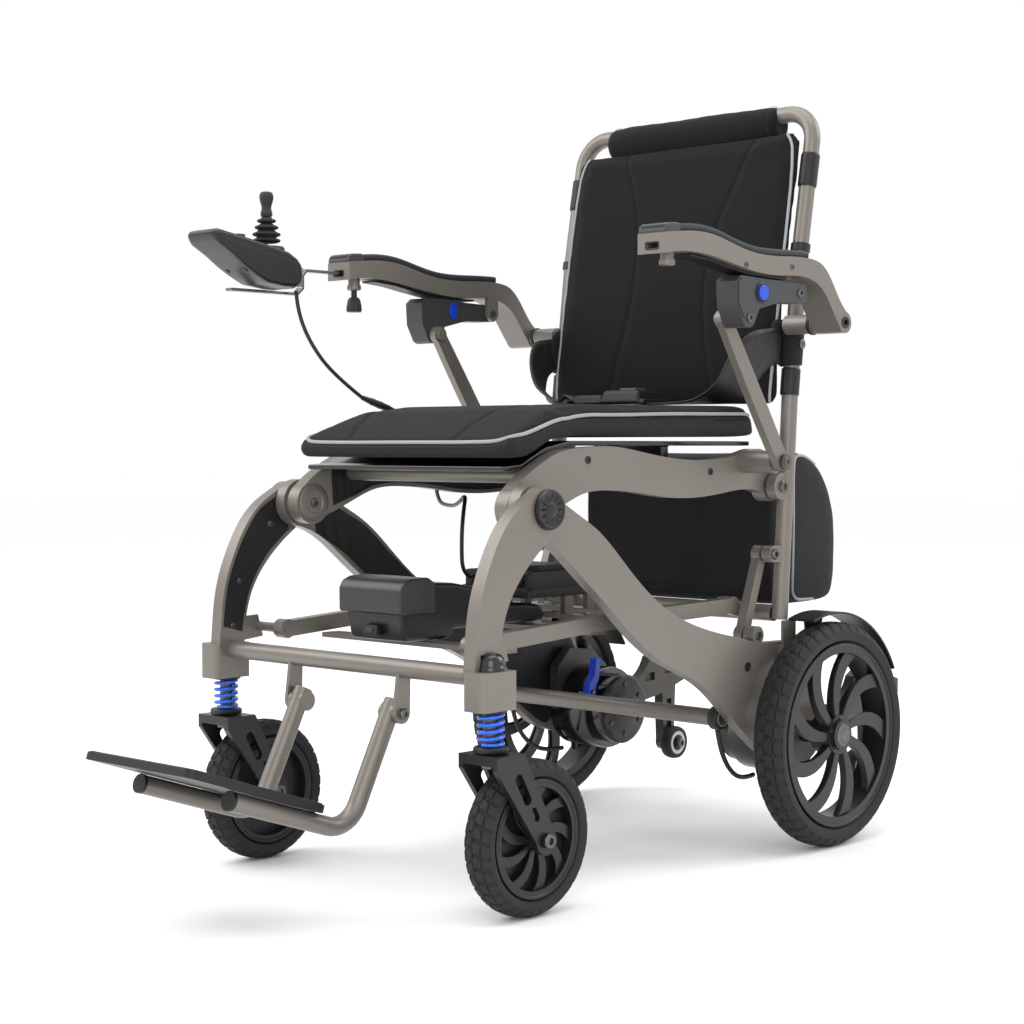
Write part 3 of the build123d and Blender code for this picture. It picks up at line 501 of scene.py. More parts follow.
def seat_cushion():
    """Crowned seat pad with a dipping front edge, piping round its top and two stitched channels."""
    section = [(70, 546), (428, 546), (474, 540), (516, 520), (546, 518), (552, 530), (546, 541),
               (508, 555), (458, 570), (398, 577), (84, 579), (68, 568)]
    vertices = []
    widths = [(-1, 0.955), (-0.985, 0.99), (-0.95, 1.0), (0.95, 1.0), (0.985, 0.99), (1, 0.955)]
    centre = (310, 548)
    for y, k in widths:
        vertices += [at(centre[0] + (x - centre[0]) * k, y * 186, centre[1] + (z - centre[1]) * k)
                     for x, z in section]
    pad = piece("seat_pad", vertices, loft_faces(len(widths), len(section)), SEAT_FABRIC, None)
    settled(pad, 7.0, held=lambda p: min(1.0, max(0.05, (p[2] * 1000 - 540) / 30)))
    top = surface_of(pad)
    rear_y, front_y = 182, 184
    rim = [(80, rear_y, 575), (250, rear_y, 575), (398, rear_y, 572), (458, rear_y, 565),
           (506, front_y, 551), (532, 180, 543), (546, 168, 539), (549, 120, 538), (549, 0, 538)]
    rim += [(x, -y, z) for x, y, z in reversed(rim[:-1])]
    line = laid_on(top, frame_line(rim, 0.005), 0.2)
    seams = [[(545, -92, 548), (505, -118, 560), (440, -146, 578), (330, -158, 582), (160, -160, 582)],
             [(545, 92, 548), (505, 84, 560), (440, 78, 578), (330, 74, 582), (160, 72, 582)]]
    channels = [laid_on(top, frame_line(seam, 0.004)) for seam in seams]
    creased(pad, channels, 2.6, 5.0)
    creased(pad, [line], 1.0, 4.0)
    creased_top = surface_of(pad)
    edge = swept("seat_piping", line, round_section(2.3, 10), PIPING, "seat_frame")
    band_line = [p + Vector((0, 0, -0.006)) for p in line]
    parts = [edge, stitched("seat_band_stitches", laid_on(creased_top, band_line, 0.1), "seat_frame")]
    for number, channel in enumerate(channels, 1):
        thread = laid_on(creased_top, channel, 0.15)
        parts.append(stitched(f"seat_channel_stitches_{number}", thread, "seat_frame"))
    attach(pad, "seat_frame")
    stands_for("seat_cushion")
    two_tone(pad, BAND_FABRIC, lambda p: p.z * 1000 < 566 and outside_rim(p))
    crushed([pad, *parts])


def outside_rim(p):
    """Whether a point of the seat lies below the line of its piping."""
    x, z = p.x * 1000 - AXLE_X, p.z * 1000
    rim_x = [60, 398, 458, 506, 532, 546, 560]
    rim_z = [575, 572, 565, 551, 543, 539, 537]
    return z < np.interp(x, rim_x, rim_z)


def two_tone(obj, finish, chosen):
    obj.data.materials.append(finish)
    for face in obj.data.polygons:
        if chosen(face.center):
            face.material_index = 1


def back_pad():
    """Padded back with rounded corners, piping down both sides and a pair of curved stitched seams."""
    def face(z):
        """How far forward the pad's front reaches at a height."""
        return float(np.interp(z, (584, 640, 740, 830, 918, 962), (51, 47, 33, 17, 1, -5)))

    heights = np.linspace(584, 960, 27)
    vertices, columns = [], 16
    for z in heights:
        x = face(z)
        half = 201 - 14 * max(0.0, (z - 936) / 24) ** 2 - 6 * max(0.0, (604 - z) / 20) ** 2
        thick = float(np.interp(z, (900, 960), (16, 8)))
        across = np.linspace(-1, 1, columns)
        for a in across:
            vertices.append(at(x - 5 * (1 - a * a), a * half, z))
        for a in across[::-1]:
            thin = thick * (1 - 0.5 * min(1, max(0.0, abs(a) - 0.85) / 0.08)) + 3 * (1 - a * a)
            vertices.append(at(x - thin, a * half, z))
    pad = piece("back_cushion", vertices, loft_faces(len(heights), 2 * columns), BACK_FABRIC, None)
    settled(pad, 5.0)
    skin = surface_of(pad)
    seams = [[(124, 950), (98, 890), (78, 840), (66, 766), (70, 703), (82, 650), (90, 612)],
             [(-102, 950), (-78, 890), (-66, 840), (-61, 770), (-68, 703), (-80, 650), (-88, 612)]]
    channels = [laid_on(skin, smooth_line([at(face(z), y, z) for y, z in seam], 0.004))
                for seam in seams]
    creased(pad, channels, 2.2, 4.5)
    pressed = surface_of(pad)
    parts = [stitched(f"back_seam_stitches_{i}", laid_on(pressed, channel, 0.15), "back_frame")
             for i, channel in enumerate(channels, 1)]
    for sign, side in SIDES:
        edge = [(189, 590), (191, 640), (192, 700), (192, 750), (192, 830), (191, 890), (187, 936),
                (176, 955)]
        line = smooth_line([at(face(z) - 2, sign * y, z) for y, z in edge], 0.005)
        line = laid_on(skin, line, 0.2)
        parts.append(swept(f"back_piping_{side}", line, round_section(2.0, 10), PIPING, "back_frame",
                           up=(1, 0, 0)))
    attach(pad, "back_frame")
    stands_for("back_pad")
    crushed([pad, *parts])


def head_roll():
    """Padded roll round the crown of the back tube, with sewn ends."""
    def bulge(radius, height, angle):
        return radius * (1 + 0.03 * math.cos(2 * angle)) + 0.25 * math.sin(height * 0.19 + 2 * angle)

    profile = [(12.2, -148), (16, -150), (21, -148), (23.5, -142), (24.6, -130)]
    profile += [(25.0 + 0.5 * math.sin(h / 23), h) for h in range(-115, 116, 10)]
    profile += [(24.6, 130), (23.5, 142), (21, 148), (16, 150), (12.2, 148)]
    centre_x, centre_z = HEAD_ROLL
    roll = lathe("head_roll_pad", profile, (centre_x, 0, centre_z), (0, 1, 0), BACK_FABRIC, "back_frame",
                 steps=72, shape=bulge, sharp=180)
    for vertex in roll.data.vertices:
        vertex.co.x -= 0.2 * (vertex.co.x - at(centre_x, 0, 0).x)
    stands_for("head_roll")
    for y in (-139, 139):
        ring = [at(centre_x + 20 * math.cos(a), y, centre_z + 24.6 * math.sin(a))
                for a in np.linspace(0, 2 * math.pi, 61)[:-1]]
        stitched(f"head_roll_stitches_{'left' if y > 0 else 'right'}", ring + ring[:1], "back_frame")


def storage_bag():
    """Sagging bag behind the back tubes: a lofted shell with piping and stitches at its side panels."""
    section = [(14, 324), (15, 380), (15, 450), (14, 509), (0, 522), (-30, 527), (-64, 525),
               (-102, 508), (-129, 474), (-144, 436), (-145, 398), (-142, 350), (-136, 325),
               (-122, 316), (-60, 315), (4, 315)]
    steps, vertices = 34, []
    for i in range(steps + 1):
        a = -1 + 2 * i / steps
        sag = 4 * (1 - a * a)
        pinch = 1 - 0.05 * max(0.0, abs(a) - 0.93) / 0.07
        for x, z in section:
            wave = 1.4 * math.sin(a * 7 + z / 31) if x < -90 else 0
            vertices.append(at(-60 + (x + 60) * pinch + wave, a * 170, 420 + (z - 420) * pinch
                               - sag * (z - 315) / 220))
    bag = piece("rear_bag", vertices, loft_faces(steps + 1, len(section)), BAND_FABRIC, "back_frame",
                sharp=60)
    soften = bag.modifiers.new("soft_form", "SUBSURF")
    soften.levels = soften.render_levels = 2
    stands_for("storage_bag")
    skin = surface_of(bag)
    for sign, side in SIDES:
        edge = [(-100, 516), (-66, 524), (-44, 518), (-36, 490), (-35, 420), (-34, 350), (-38, 328),
                (-56, 318), (-90, 316)]
        line = laid_on(skin, smooth_line([at(x, sign * 170, z) for x, z in edge], 0.005), 0.3)
        swept(f"bag_piping_{side}", line, round_section(2.0, 10), PIPING, "back_frame", up=(0, 1, 0))
        stitched(f"bag_stitches_{side}", [p + Vector((0, -sign * 0.006, 0.001)) for p in line],
                 "back_frame")


# ---- carried-over CAD nodes ----
def finish_nodes():
    """Every CAD node that still shows gets its material, and its hard edges are rounded."""
    finishes = {
        "rear_leg_frame": (TITANIUM, 5.0), "front_leg_frame": (TITANIUM, 5.0),
        "seat_rails": (TITANIUM, 5.0), "seat_cross_tubes": (TITANIUM, 0), "base_frame": (TITANIUM, 1.5),
        "back_tube": (TITANIUM, 1.2), "back_links": (TITANIUM, 2.0), "footrest_frame": (TITANIUM, 0.8),
        "footplate": (BLACK_PLASTIC, 2.5), "seat_pan": (GLOSS_BLACK, 1.5),
        "controller_box": (BLACK_PLASTIC, 2.0), "mudguards": (BLACK_PLASTIC, 1.0),
        "drive_motors": (GLOSS_BLACK, 1.5), "anti_tip_arms": (DARK_TITANIUM, 1.8),
        "joystick_mount": (CHROME, 1.0), "clamp_knob": (BLACK_PLASTIC, 0.8),
    }
    for _, side in SIDES:
        finishes.update({
            f"armrest_{side}": (TITANIUM, 4.5), f"arm_pad_{side}": (ARM_FOAM, 3.0),
            f"arm_bracket_{side}": (DARK_GREY, 2.0), f"release_button_{side}": (BLUE, 0),
            f"strut_pin_{side}": (STEEL, 0.8), f"arm_strut_{side}": (TITANIUM, 2.5),
            f"clutch_lever_{side}": (BLUE, 1.5), f"rear_rim_{side}": (SATIN_BLACK, 1.2),
            f"caster_rim_{side}": (SATIN_BLACK, 0.8), f"caster_fork_{side}": (SATIN_BLACK, 1.6),
            f"caster_stem_{side}": (STEEL, 0.5),
        })
    for name, (finish, edge) in finishes.items():
        node = nodes[name]
        node.data.materials.clear()
        node.data.materials.append(finish)
        if edge:
            weld = node.modifiers.new("weld", "WELD")
            weld.merge_threshold = 0.00001
            rounded(node, edge, 2 if edge > 4 else 3)


# ---- wheels ----
def tread_tyre(name, centre, radius, bead, width, blocks, depth, body, node):
    """Pneumatic tyre with two staggered rows of blocks, shoulder lugs and smooth side walls."""
    per_block, half = 8, width / 2
    across = []
    for y in np.linspace(-1, 1, 33):
        fall = abs(y) ** 3.2
        across.append((radius - (radius - bead) * 0.42 * fall, y * half))
    count = blocks * per_block
    vertices = []
    wall = [(bead + 0.5, half * 0.62), (bead + (radius - bead) * 0.18, half * 0.90),
            (bead + (radius - bead) * 0.40, half * 0.995)]
    profile = [(r, -y) for r, y in wall] + across + [(r, y) for r, y in reversed(wall)]
    first, last = len(wall), len(profile) - len(wall) - 1
    for i in range(count):
        angle = 2 * math.pi * i / count
        for j, (r, y) in enumerate(profile):
            level = r
            if first <= j <= last:
                row = y / half
                phase = (i / per_block + (0.5 if row > 0 else 0.0) + 0.35 * abs(row)) % 1.0
                groove = phase < 0.24 or abs(row) < 0.05 or 0.50 < abs(row) < 0.58
                level = r - depth if groove and abs(row) < 0.97 else r
            vertices.append(at(centre[0] + level * math.cos(angle), centre[1] + y,
                               centre[2] + level * math.sin(angle)))
    faces = loft_faces(count, len(profile), closed=True)
    tyre = piece(name, vertices, faces, RUBBER, body, sharp=34)
    stands_for(node)


def wheel_cap(name, centre, axis, radius, height, petals, finish, body):
    """Turned cap with petal-shaped grooves round a raised centre."""
    profile = [(radius, 0), (radius, height * 0.5), (radius * 0.93, height), (radius * 0.86, height)]
    profile += [(radius * k, height * 0.92) for k in np.linspace(0.82, 0.36, 9)]
    profile += [(radius * 0.32, height), (radius * 0.16, height * 1.05), (0, height * 1.05)]
    cap = lathe(name, profile, centre, axis, finish, body, steps=petals * 12, sharp=50)
    u, v, w = basis(axis)
    origin = at(*centre)
    for vertex in cap.data.vertices:
        offset = vertex.co - origin
        r = math.hypot(offset.dot(u), offset.dot(v)) * 1000 / radius
        if 0.36 < r < 0.83 and offset.dot(w) > 0:
            angle = math.atan2(offset.dot(v), offset.dot(u))
            leaf = math.cos(angle * petals) * math.sin(math.pi * (r - 0.34) / 0.5)
            if leaf > 0.25:
                vertex.co -= w * height * 0.00045
    return cap


def wheels():
    """Tyres, spokes, lips, caps and screws of the drive wheels and casters, and the anti-tip wheels."""
    for sign, side in SIDES:
        body = f"rear_wheel_{side}"
        middle = (0, sign * DRIVE_Y, AXLE_Z)
        tread_tyre(f"drive_tyre_{side}", middle, 149.3, 121.3, 46, 46, 2.6, body, f"rear_tyre_{side}")
        rim_lip(f"drive_rim_lip_{side}", middle, sign, 121, 19.4, body)
        spoke_faces(f"drive_spoke_faces_{side}", (0, 0, AXLE_Z), (sign * 265.5, sign * 269.6), (23, 110),
                    (4.6, 9.4, 13.5), body)
        wheel_cap(f"drive_hub_cap_{side}", (0, sign * 275.8, AXLE_Z), (0, sign, 0), 15, 1.4, 12,
                  STEEL, body)
        for i in range(5):
            angle = math.radians(90 + 72 * i)
            place = (20.5 * math.cos(angle), sign * 270.8, AXLE_Z + 20.5 * math.sin(angle))
            bolt(f"drive_hub_screw_{side}_{i + 1}", place, (0, sign, 0), 2.6, 2.2, body)
        body = f"caster_wheel_{side}"
        hub = (CASTER_HUB[0], sign * CASTER_HUB[1], CASTER_HUB[2])
        tread_tyre(f"caster_tread_{side}", hub, 89.8, 67.3, 40, 34, 2.4, body, f"caster_tyre_{side}")
        spoke_faces(f"caster_spoke_faces_{side}", hub, (sign * 242.2, sign * 245.4), (12.5, 60),
                    (3.2, 6.0, 8.6), body)
        web = [(15, -2), (62, -2), (65.5, -5), (65.5, 5), (62, 2), (15, 2), (15, -2)]
        lathe(f"caster_web_{side}", web, hub, (0, sign, 0), BLACK_PLASTIC, body, steps=96)
        for face in (1, -1):
            rim_lip(f"caster_rim_lip_{side}_{'outer' if face > 0 else 'inner'}", hub, face, 67, 16.4, body)
            bolt(f"caster_axle_{side}_{'outer' if face == sign else 'inner'}",
                 (hub[0], hub[1] + face * 32.8, hub[2]), (0, face, 0), 8.5, 4.5, f"caster_fork_{side}")
        tip_wheel(sign, side)


def spoke_faces(name, centre, y_range, radii, half_widths, body):
    """Broad curved faces on the nine spokes, widening towards the rim."""
    vertices, faces = [], []
    for number in range(9):
        left, right = [], []
        for t in np.linspace(0, 1, 13):
            r = radii[0] + (radii[1] - radii[0]) * t
            angle = math.radians(40 * number + 24 * (0.2 * t + 0.8 * t * t))
            half = float(np.interp(t, (0, 0.5, 1), half_widths)) / r
            for side_line, a in ((left, angle - half), (right, angle + half)):
                side_line.append((centre[0] + r * math.cos(a), centre[2] + r * math.sin(a)))
        outline = left + right[::-1]
        faces += loft_faces(2, len(outline), start=len(vertices))
        vertices += [at(x, y, z) for y in y_range for x, z in outline]
    return rounded(piece(name, vertices, faces, SATIN_BLACK, body), 1.0, 2)


def rim_lip(name, centre, face, radius, offset, body):
    """Rolled lip where the tyre's bead meets the rim."""
    profile = [(radius - 3.4, offset - 1.2), (radius - 2.6, offset + 0.6), (radius - 0.6, offset + 1.2),
               (radius + 1.0, offset + 0.4), (radius + 1.0, offset - 1.2), (radius - 3.4, offset - 1.2)]
    return lathe(name, profile, centre, (0, face, 0), SATIN_BLACK, body, steps=128, sharp=50)


def tip_wheel(sign, side):
    """Tyre, pale ring, hub and bolt of an anti-tip wheel."""
    body = f"anti_tip_wheel_{side}"
    middle = (TIP_WHEEL[0], sign * 168, TIP_WHEEL[1])
    profile = [(18, -9.2), (21.5, -9.4), (24, -7.5), (25, -3.5), (25, 3.5), (24, 7.5), (21.5, 9.4),
               (18, 9.2), (18, -9.2)]
    tyre = lathe(f"tip_tyre_{side}", profile, middle, (0, sign, 0), RUBBER, body, sharp=60)
    stands_for(f"anti_tip_wheel_{side}")
    profile = [(12.2, -8.2), (17.9, -8.2), (18.3, 0), (17.9, 8.2), (12.2, 8.2), (12.2, -8.2)]
    lathe(f"tip_ring_{side}", profile, middle, (0, sign, 0), WHITE_RING, body)
    profile = [(5.1, -8.8), (11.2, -8.8), (12.1, -7.6), (12.1, 7.6), (11.2, 8.8), (5.1, 8.8), (5.1, -8.8)]
    lathe(f"tip_hub_{side}", profile, middle, (0, sign, 0), BLACK_PLASTIC, body)
    bolt(f"tip_bolt_{side}", (TIP_WHEEL[0], sign * 155.2, TIP_WHEEL[1]), (0, -sign, 0), 7, 3.5,
         "rear_frame")


def suspension():
    """Blue coil springs between black collars, the domes that close the housings, stem nuts and the
    covers of the joint between front legs and seat."""
    for sign, side in SIDES:
        x, y = STEM[0], sign * STEM[1]
        stem = (x, y, 0)
        turns, base, top = 4.6, 202.6, 235.2
        coil = []
        for i in range(int(turns * 28) + 1):
            t = i / (turns * 28)
            angle = 2 * math.pi * turns * t
            rise = base + (top - base) * min(1, max(0, (t - 0.06) / 0.88))
            coil.append(at(x + 13.4 * math.cos(angle), y + 13.4 * math.sin(angle), rise))
        spring = swept(f"spring_coil_{side}", coil, round_section(2.3, 12), BLUE_STEEL, "front_frame")
        stands_for(f"caster_spring_{side}")
        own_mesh(spring)
        seat = [(8.3, 193.2), (19, 193.2), (20, 194.6), (20, 198.4), (18.5, 199.8), (8.3, 199.8),
                (8.3, 193.2)]
        lathe(f"spring_seat_{side}", seat, stem, UP, BLACK_PLASTIC, f"caster_stem_{side}")
        collar = [(8.6, 239.6), (18.4, 239.6), (18.4, 238), (17, 237.4), (8.6, 237.4), (8.6, 239.6)]
        lathe(f"spring_collar_{side}", collar, stem, UP, BLACK_PLASTIC, "front_frame")
        dome = [(15.2, 284), (17.6, 284.2), (17.6, 288), (16.4, 289.2), (16.0, 293), (14.4, 298.4),
                (11, 302), (6, 304), (0, 304.6)]
        cap = lathe(f"caster_dome_{side}", dome, stem, UP, GLOSS_BLACK, "front_frame", sharp=45)
        nut = [(8.2, 176), (12, 176), (12, 180.8), (8.2, 180.8)]
        lathe(f"stem_nut_{side}", nut, stem, UP, STEEL, f"caster_fork_{side}", steps=6)
        hub = wheel_cap(f"hub_cover_{side}", (HUB[0], sign * 233.2, HUB[1]), (0, sign, 0), 23.3, 6.4, 12,
                        SATIN_BLACK, "front_frame")
        if sign > 0:
            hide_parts("end_caps")
        inner = (0, -sign, 0)
        disc = [(24, 0), (24, 2.0), (22.5, 3.0), (14, 3.0), (13, 2.2), (0, 2.2)]
        lathe(f"hub_inner_disc_{side}", disc, (HUB[0], sign * 173.9, HUB[1]), inner, TITANIUM, "seat_frame")
        bolt(f"hub_inner_screw_{side}", (HUB[0], sign * 171.5, HUB[1]), inner, 6, 2.6, "seat_frame")


# ---- frame details ----
# name, place, which way the head faces (1 outwards), radius, height, body
FRAME_SCREWS = (
    ("leg_screw", (104, LEG_FACE_Y, 285), 1, 6, 2.2, "rear_frame"),
    ("link_screw", (66, 210.9, 390), 1, 7.5, 3.5, "back_frame"),
    ("base_pin_head", (590, 172.8, 303), -1, 8.5, 3.2, "base_frame"),
    ("base_rear_head", (105, 149.6, 322), -1, 7, 3, "back_frame"),
    ("back_pivot_screw", (BACK_PIVOT[0], 212.6, BACK_PIVOT[1]), 1, 8, 2.4, "seat_frame"),
    ("foot_pin_screw", (635, 100.6, 224), 1, 6.5, 2.6, "footrest"),
)


def frame_details():
    """Screws, plugs, sleeves and covers of the tubular frame."""
    for sign, side in SIDES:
        out = (0, sign, 0)
        for i, (x, z) in enumerate(((420, 516), (182, 500)), 1):
            bolt(f"rail_screw_{side}_{i}", (x, sign * 193.4, z), out, 4.8, 1.4, "seat_frame", SATIN_BLACK)
        plugged(f"leg_plug_{side}", (127, sign * LEG_FACE_Y, 246), out, 6.5, 1.2, "rear_frame")
        for name, (x, y, z), facing, radius, height, body in FRAME_SCREWS:
            bolt(f"{name}_{side}", (x, sign * y, z), (0, sign * facing, 0), radius, height, body)
        clamp = [(10.9, 0), (15, 0), (15.6, 1), (15.6, 12), (14.6, 13), (10.9, 13), (10.9, 0)]
        lathe(f"cross_clamp_{side}", clamp, (158, sign * 182.5, 180), out, BLACK_PLASTIC, "rear_frame")
        sleeve(f"crown_sleeve_{side}", (-20.6, 925), (-12, 880), sign)
        sleeve(f"waist_sleeve_{side}", (26, 600), (22, 636), sign)
        sleeve(f"collar_{side}", (3.2, 792), (1.2, 803), sign, 2.0)
        ring = [(6.2, 0), (13.8, 0), (14.6, 0.8), (14.6, 4), (13.8, 4.8), (6.2, 4.8)]
        lathe(f"arm_stub_ring_{side}", ring, (32, sign * 244, 693), out, BLACK_PLASTIC, "back_frame")
        bolt(f"strut_foot_socket_{side}", (STRUT_FOOT[0], sign * 262.9, STRUT_FOOT[1]), out, 6.6, 1.2,
             f"strut_pin_{side}")
        bolt(f"strut_top_screw_{side}", (STRUT_TOP[0], sign * 257.9, STRUT_TOP[1]), out, 8, 2.2,
             f"arm_strut_{side}")
        leg_infill(sign, side)


def sleeve(name, low, high, sign, thick=1.6):
    """A slim rubber sleeve round the back tube."""
    foot, head = (at(x, sign * TUBE_Y, z) for x, z in (low, high))
    steps = [foot.lerp(head, t) for t in (0, 0.04, 0.1, 0.9, 0.96, 1)]
    return swept(name, steps, round_section(11.2 + thick, 28), BLACK_PLASTIC, "back_frame", up=(0, 1, 0),
                 scale=lambda t: 0.93 if t in (0, 1) else 1.0)


def leg_infill(sign, side):
    """Black covers in the hollow inner faces of the rear legs, the front legs and the seat rails."""
    upper = [(512, 478), (466, 449), (423, 426), (373, 384), (303, 330), (257, 308), (200, 291), (140, 277),
             (80, 268), (34, 266), (14, 250), (-20, 180)]
    lower = [(510, 420), (460, 391), (402, 345), (367, 315), (303, 273), (220, 235), (150, 180), (112, 152),
             (80, 131), (62, 128), (58, 140), (40, 160)]
    ribbed_strip(f"leg_infill_{side}", upper, lower, sign * 197.1, -sign, "rear_frame", 11, 1.1)
    upper = [(557, 471), (586, 454), (604, 434), (625, 398), (641, 355), (648, 306)]
    lower = [(540, 425), (549, 419), (580, 391), (604, 354), (615, 318), (618, 298)]
    ribbed_strip(f"front_infill_{side}", upper, lower, sign * 215.1, -sign, "front_frame", 9, 0.5)
    for i, (x, z) in enumerate(((572, 433), (622, 362), (633, 306)), 1):
        bolt(f"front_infill_screw_{side}_{i}", (x, sign * 214.8, z), (0, -sign, 0), 3.6, 1.2, "front_frame")
    upper = [(503, 506), (472, 520), (427, 526), (371, 527), (323, 521), (273, 514), (216, 510), (163, 511),
             (109, 518), (78, 523), (58, 516)]
    lower = [(500, 456), (461, 469), (427, 481), (380, 484), (322, 480), (273, 474), (216, 472), (163, 476),
             (114, 481), (82, 478), (58, 474)]
    ribbed_strip(f"rail_infill_{side}", upper, lower, sign * 174.1, -sign, "seat_frame", 17, 1.4)


def ribbed_strip(name, upper, lower, y, out, body, ribs, rise):
    """A strip between two side-view lines, raised into cross ribs between a rim."""
    steps = ribs * 6
    top = resampled(upper, steps)
    low = resampled(lower, steps)
    vertices = []
    spans = (0, 0, 0.05, 0.07, 0.93, 0.95, 1, 1)
    for i, ((xa, za), (xb, zb)) in enumerate(zip(top, low)):
        rib = i % 6 in (0, 1) or i in (0, steps)
        for j, t in enumerate(spans):
            high = rise if j in (1, 2, 5, 6) or (rib and j in (3, 4)) else 0.4
            depth = 0.0 if j in (0, 7) else high
            vertices.append(at(xa + (xb - xa) * t, y + out * depth, za + (zb - za) * t))
    return piece(name, vertices, loft_faces(steps + 1, len(spans)), BLACK_PLASTIC, body, sharp=25)


def resampled(points, count):
    """Equally spaced points on a smooth side-view line."""
    line = smooth_line([(x, z, 0) for x, z in points], 2)
    lengths = np.concatenate([[0], np.cumsum([(b - a).length for a, b in zip(line, line[1:])])])
    want = np.linspace(0, lengths[-1], count + 1)
    return list(zip(np.interp(want, lengths, [p.x for p in line]),
                    np.interp(want, lengths, [p.y for p in line])))


def base_details():
    """Battery with its hood and latch, control box with its gland and sockets, motor end caps."""
    body = "battery"
    profile = [(337, 310), (500, 310), (507, 299), (584, 299), (590, 331), (588, 361), (560, 369),
               (500, 366), (457, 358), (438, 347), (428, 335), (380, 335), (347, 331), (337, 321)]
    shell = slab("battery_body", profile, (-49, 49), SATIN_BLACK, body, edge=6)
    stands_for("battery_pack")
    hood = [(538, 332), (597, 332), (597.5, 361), (592, 370), (580, 374.5), (550, 375.5), (538, 368)]
    slab("battery_hood", hood, (-55.5, 55.5), HOOD_GREY, body, edge=3.5)
    block("battery_latch", (588.5, -13.5, 305), (597.5, 13.5, 318), BLACK_PLASTIC, body, 1.5)
    block("battery_latch_tab", (594, -6, 308), (598.5, 6, 315), HOOD_GREY, body, 1.0)
    for i, y in enumerate((-34, -17, 0, 17, 34), 1):
        block(f"battery_rib_{i}", (384, y - 2, 333), (424, y + 2, 336.8), SATIN_BLACK, body, 0.8)
    body = "base_frame"
    for i, (x, y) in enumerate(((251, -50), (251, 50), (369, -50), (369, 50)), 1):
        bolt(f"controller_screw_{i}", (x, y, 371.9), UP, 4, 1.8, body)
    edge = [(243, -58), (377, -58), (377, 58), (243, 58)]
    for z, inset, name in ((352, -3, "lower"), (372.1, 1.0, "upper")):
        ring = [at(x + (inset if x < 300 else -inset), y + (inset if y < 0 else -inset), z)
                for x, y in edge]
        line = []
        for a, b in zip(ring, ring[1:] + ring[:1]):
            line += [a.lerp(b, t) for t in (0.03, 0.06, 0.5, 0.94, 0.97)]
        swept(f"controller_edge_{name}", line, round_section(1.1, 8), DARK_GREY, body, closed=True)
    lathe("controller_gland", [(3.2, 0), (8, 0), (8, 5), (6.5, 6), (6, 12), (4, 17), (3.2, 17)],
          (377, -30, 362), (1, 0, 0), BLACK_PLASTIC, body, steps=24)
    for i, y in enumerate((0, 22, 40), 1):
        lathe(f"controller_socket_{i}", [(5.5, 0), (8, 0), (8, 3.4), (6, 4), (5.5, 2), (0, 2)],
              (376.8, y, 362), (1, 0, 0), BLACK_PLASTIC, body, steps=28)
    for sign, side in SIDES:
        motor_details(sign, side)


def motor_details(sign, side):
    """Smooth glossy sleeve on the motor drum and a ribbed, screwed end cap on its inner face."""
    drum = [(56.5, 128.6), (58.6, 129.6), (59.2, 132), (59.2, 180), (58.4, 183), (56.5, 184), (56.5, 128.6)]
    lathe(f"motor_sleeve_{side}", drum, (0, 0, AXLE_Z), (0, sign, 0), GLOSS_BLACK, "rear_frame", steps=96)

    def ribs(radius, height, angle):
        return radius + (0.9 * max(0.0, math.cos(angle * 8)) if 30 < radius < 47 else 0)

    cap = [(50.2, 108), (50.2, 104.8), (47, 102.4), (40, 101.6), (31, 101.6), (27, 100.2), (13, 100.2),
           (12, 99.2), (0, 99.2)]
    lathe(f"motor_cap_{side}", cap, (0, 0, AXLE_Z), (0, sign, 0), SATIN_BLACK, "rear_frame", steps=96,
          shape=ribs, sharp=30)
    for i in range(6):
        angle = math.radians(30 + 60 * i)
        place = (36 * math.cos(angle), sign * 101.7, AXLE_Z + 36 * math.sin(angle))
        bolt(f"motor_screw_{side}_{i + 1}", place, (0, -sign, 0), 3.4, 2.2, "rear_frame")


def footrest_details():
    """Black end plugs, and the rubber edge and studs of the plate."""
    along = Vector((math.cos(FOOTPLATE_TILT), 0, math.sin(FOOTPLATE_TILT)))
    out = Vector((-math.sin(FOOTPLATE_TILT), 0, math.cos(FOOTPLATE_TILT)))
    plug = [(0, 0), (9, 0), (11.2, 0.8), (11.2, 5), (0, 5)]
    for sign, side in SIDES:
        lathe(f"foot_plug_{side}", plug, (871, sign * 80, 150.9), along, BLACK_PLASTIC, "footrest",
              steps=36)
    low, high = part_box("footplate")
    front, rear = high.x * 1000 - AXLE_X, low.x * 1000 - AXLE_X
    middle_x, middle_z = (front + rear) / 2, (low.z + high.z) * 500
    centre = at(middle_x, 0, middle_z) + out * 0.0045
    outline = []
    for cx, cy, start in ((86, 84, 0), (-86, 84, 90), (-86, -84, 180), (86, -84, 270)):
        for a in range(0, 91, 15):
            angle = math.radians(start + a)
            outline.append(centre + along * (cx + 11 * math.cos(angle)) / 1000
                           + Vector((0, 1, 0)) * (cy + 11 * math.sin(angle)) / 1000)
    swept("footplate_rim", outline, round_section(1.6, 8), BLACK_PLASTIC, "footrest", up=out, closed=True)
    vertices, faces = [], []
    for row in range(-9, 10):
        for column in range(-5, 6):
            shift = 4.2 if row % 2 else 0
            u, v = row * 8.4, column * 14.5 + shift
            start = len(vertices)
            for level, r in ((0, 3.4), (0.9, 2.6)):
                for k in range(8):
                    angle = math.pi * k / 4
                    vertices.append(centre + along * (u + r * math.cos(angle)) / 1000
                                    + Vector((0, 1, 0)) * (v + 1.5 * r * math.sin(angle)) / 1000
                                    + out * level / 1000)
            faces += loft_faces(2, 8, ends=False, start=start) + [tuple(range(start + 8, start + 16))]
    piece("footplate_studs", vertices, faces, RUBBER, "footrest")


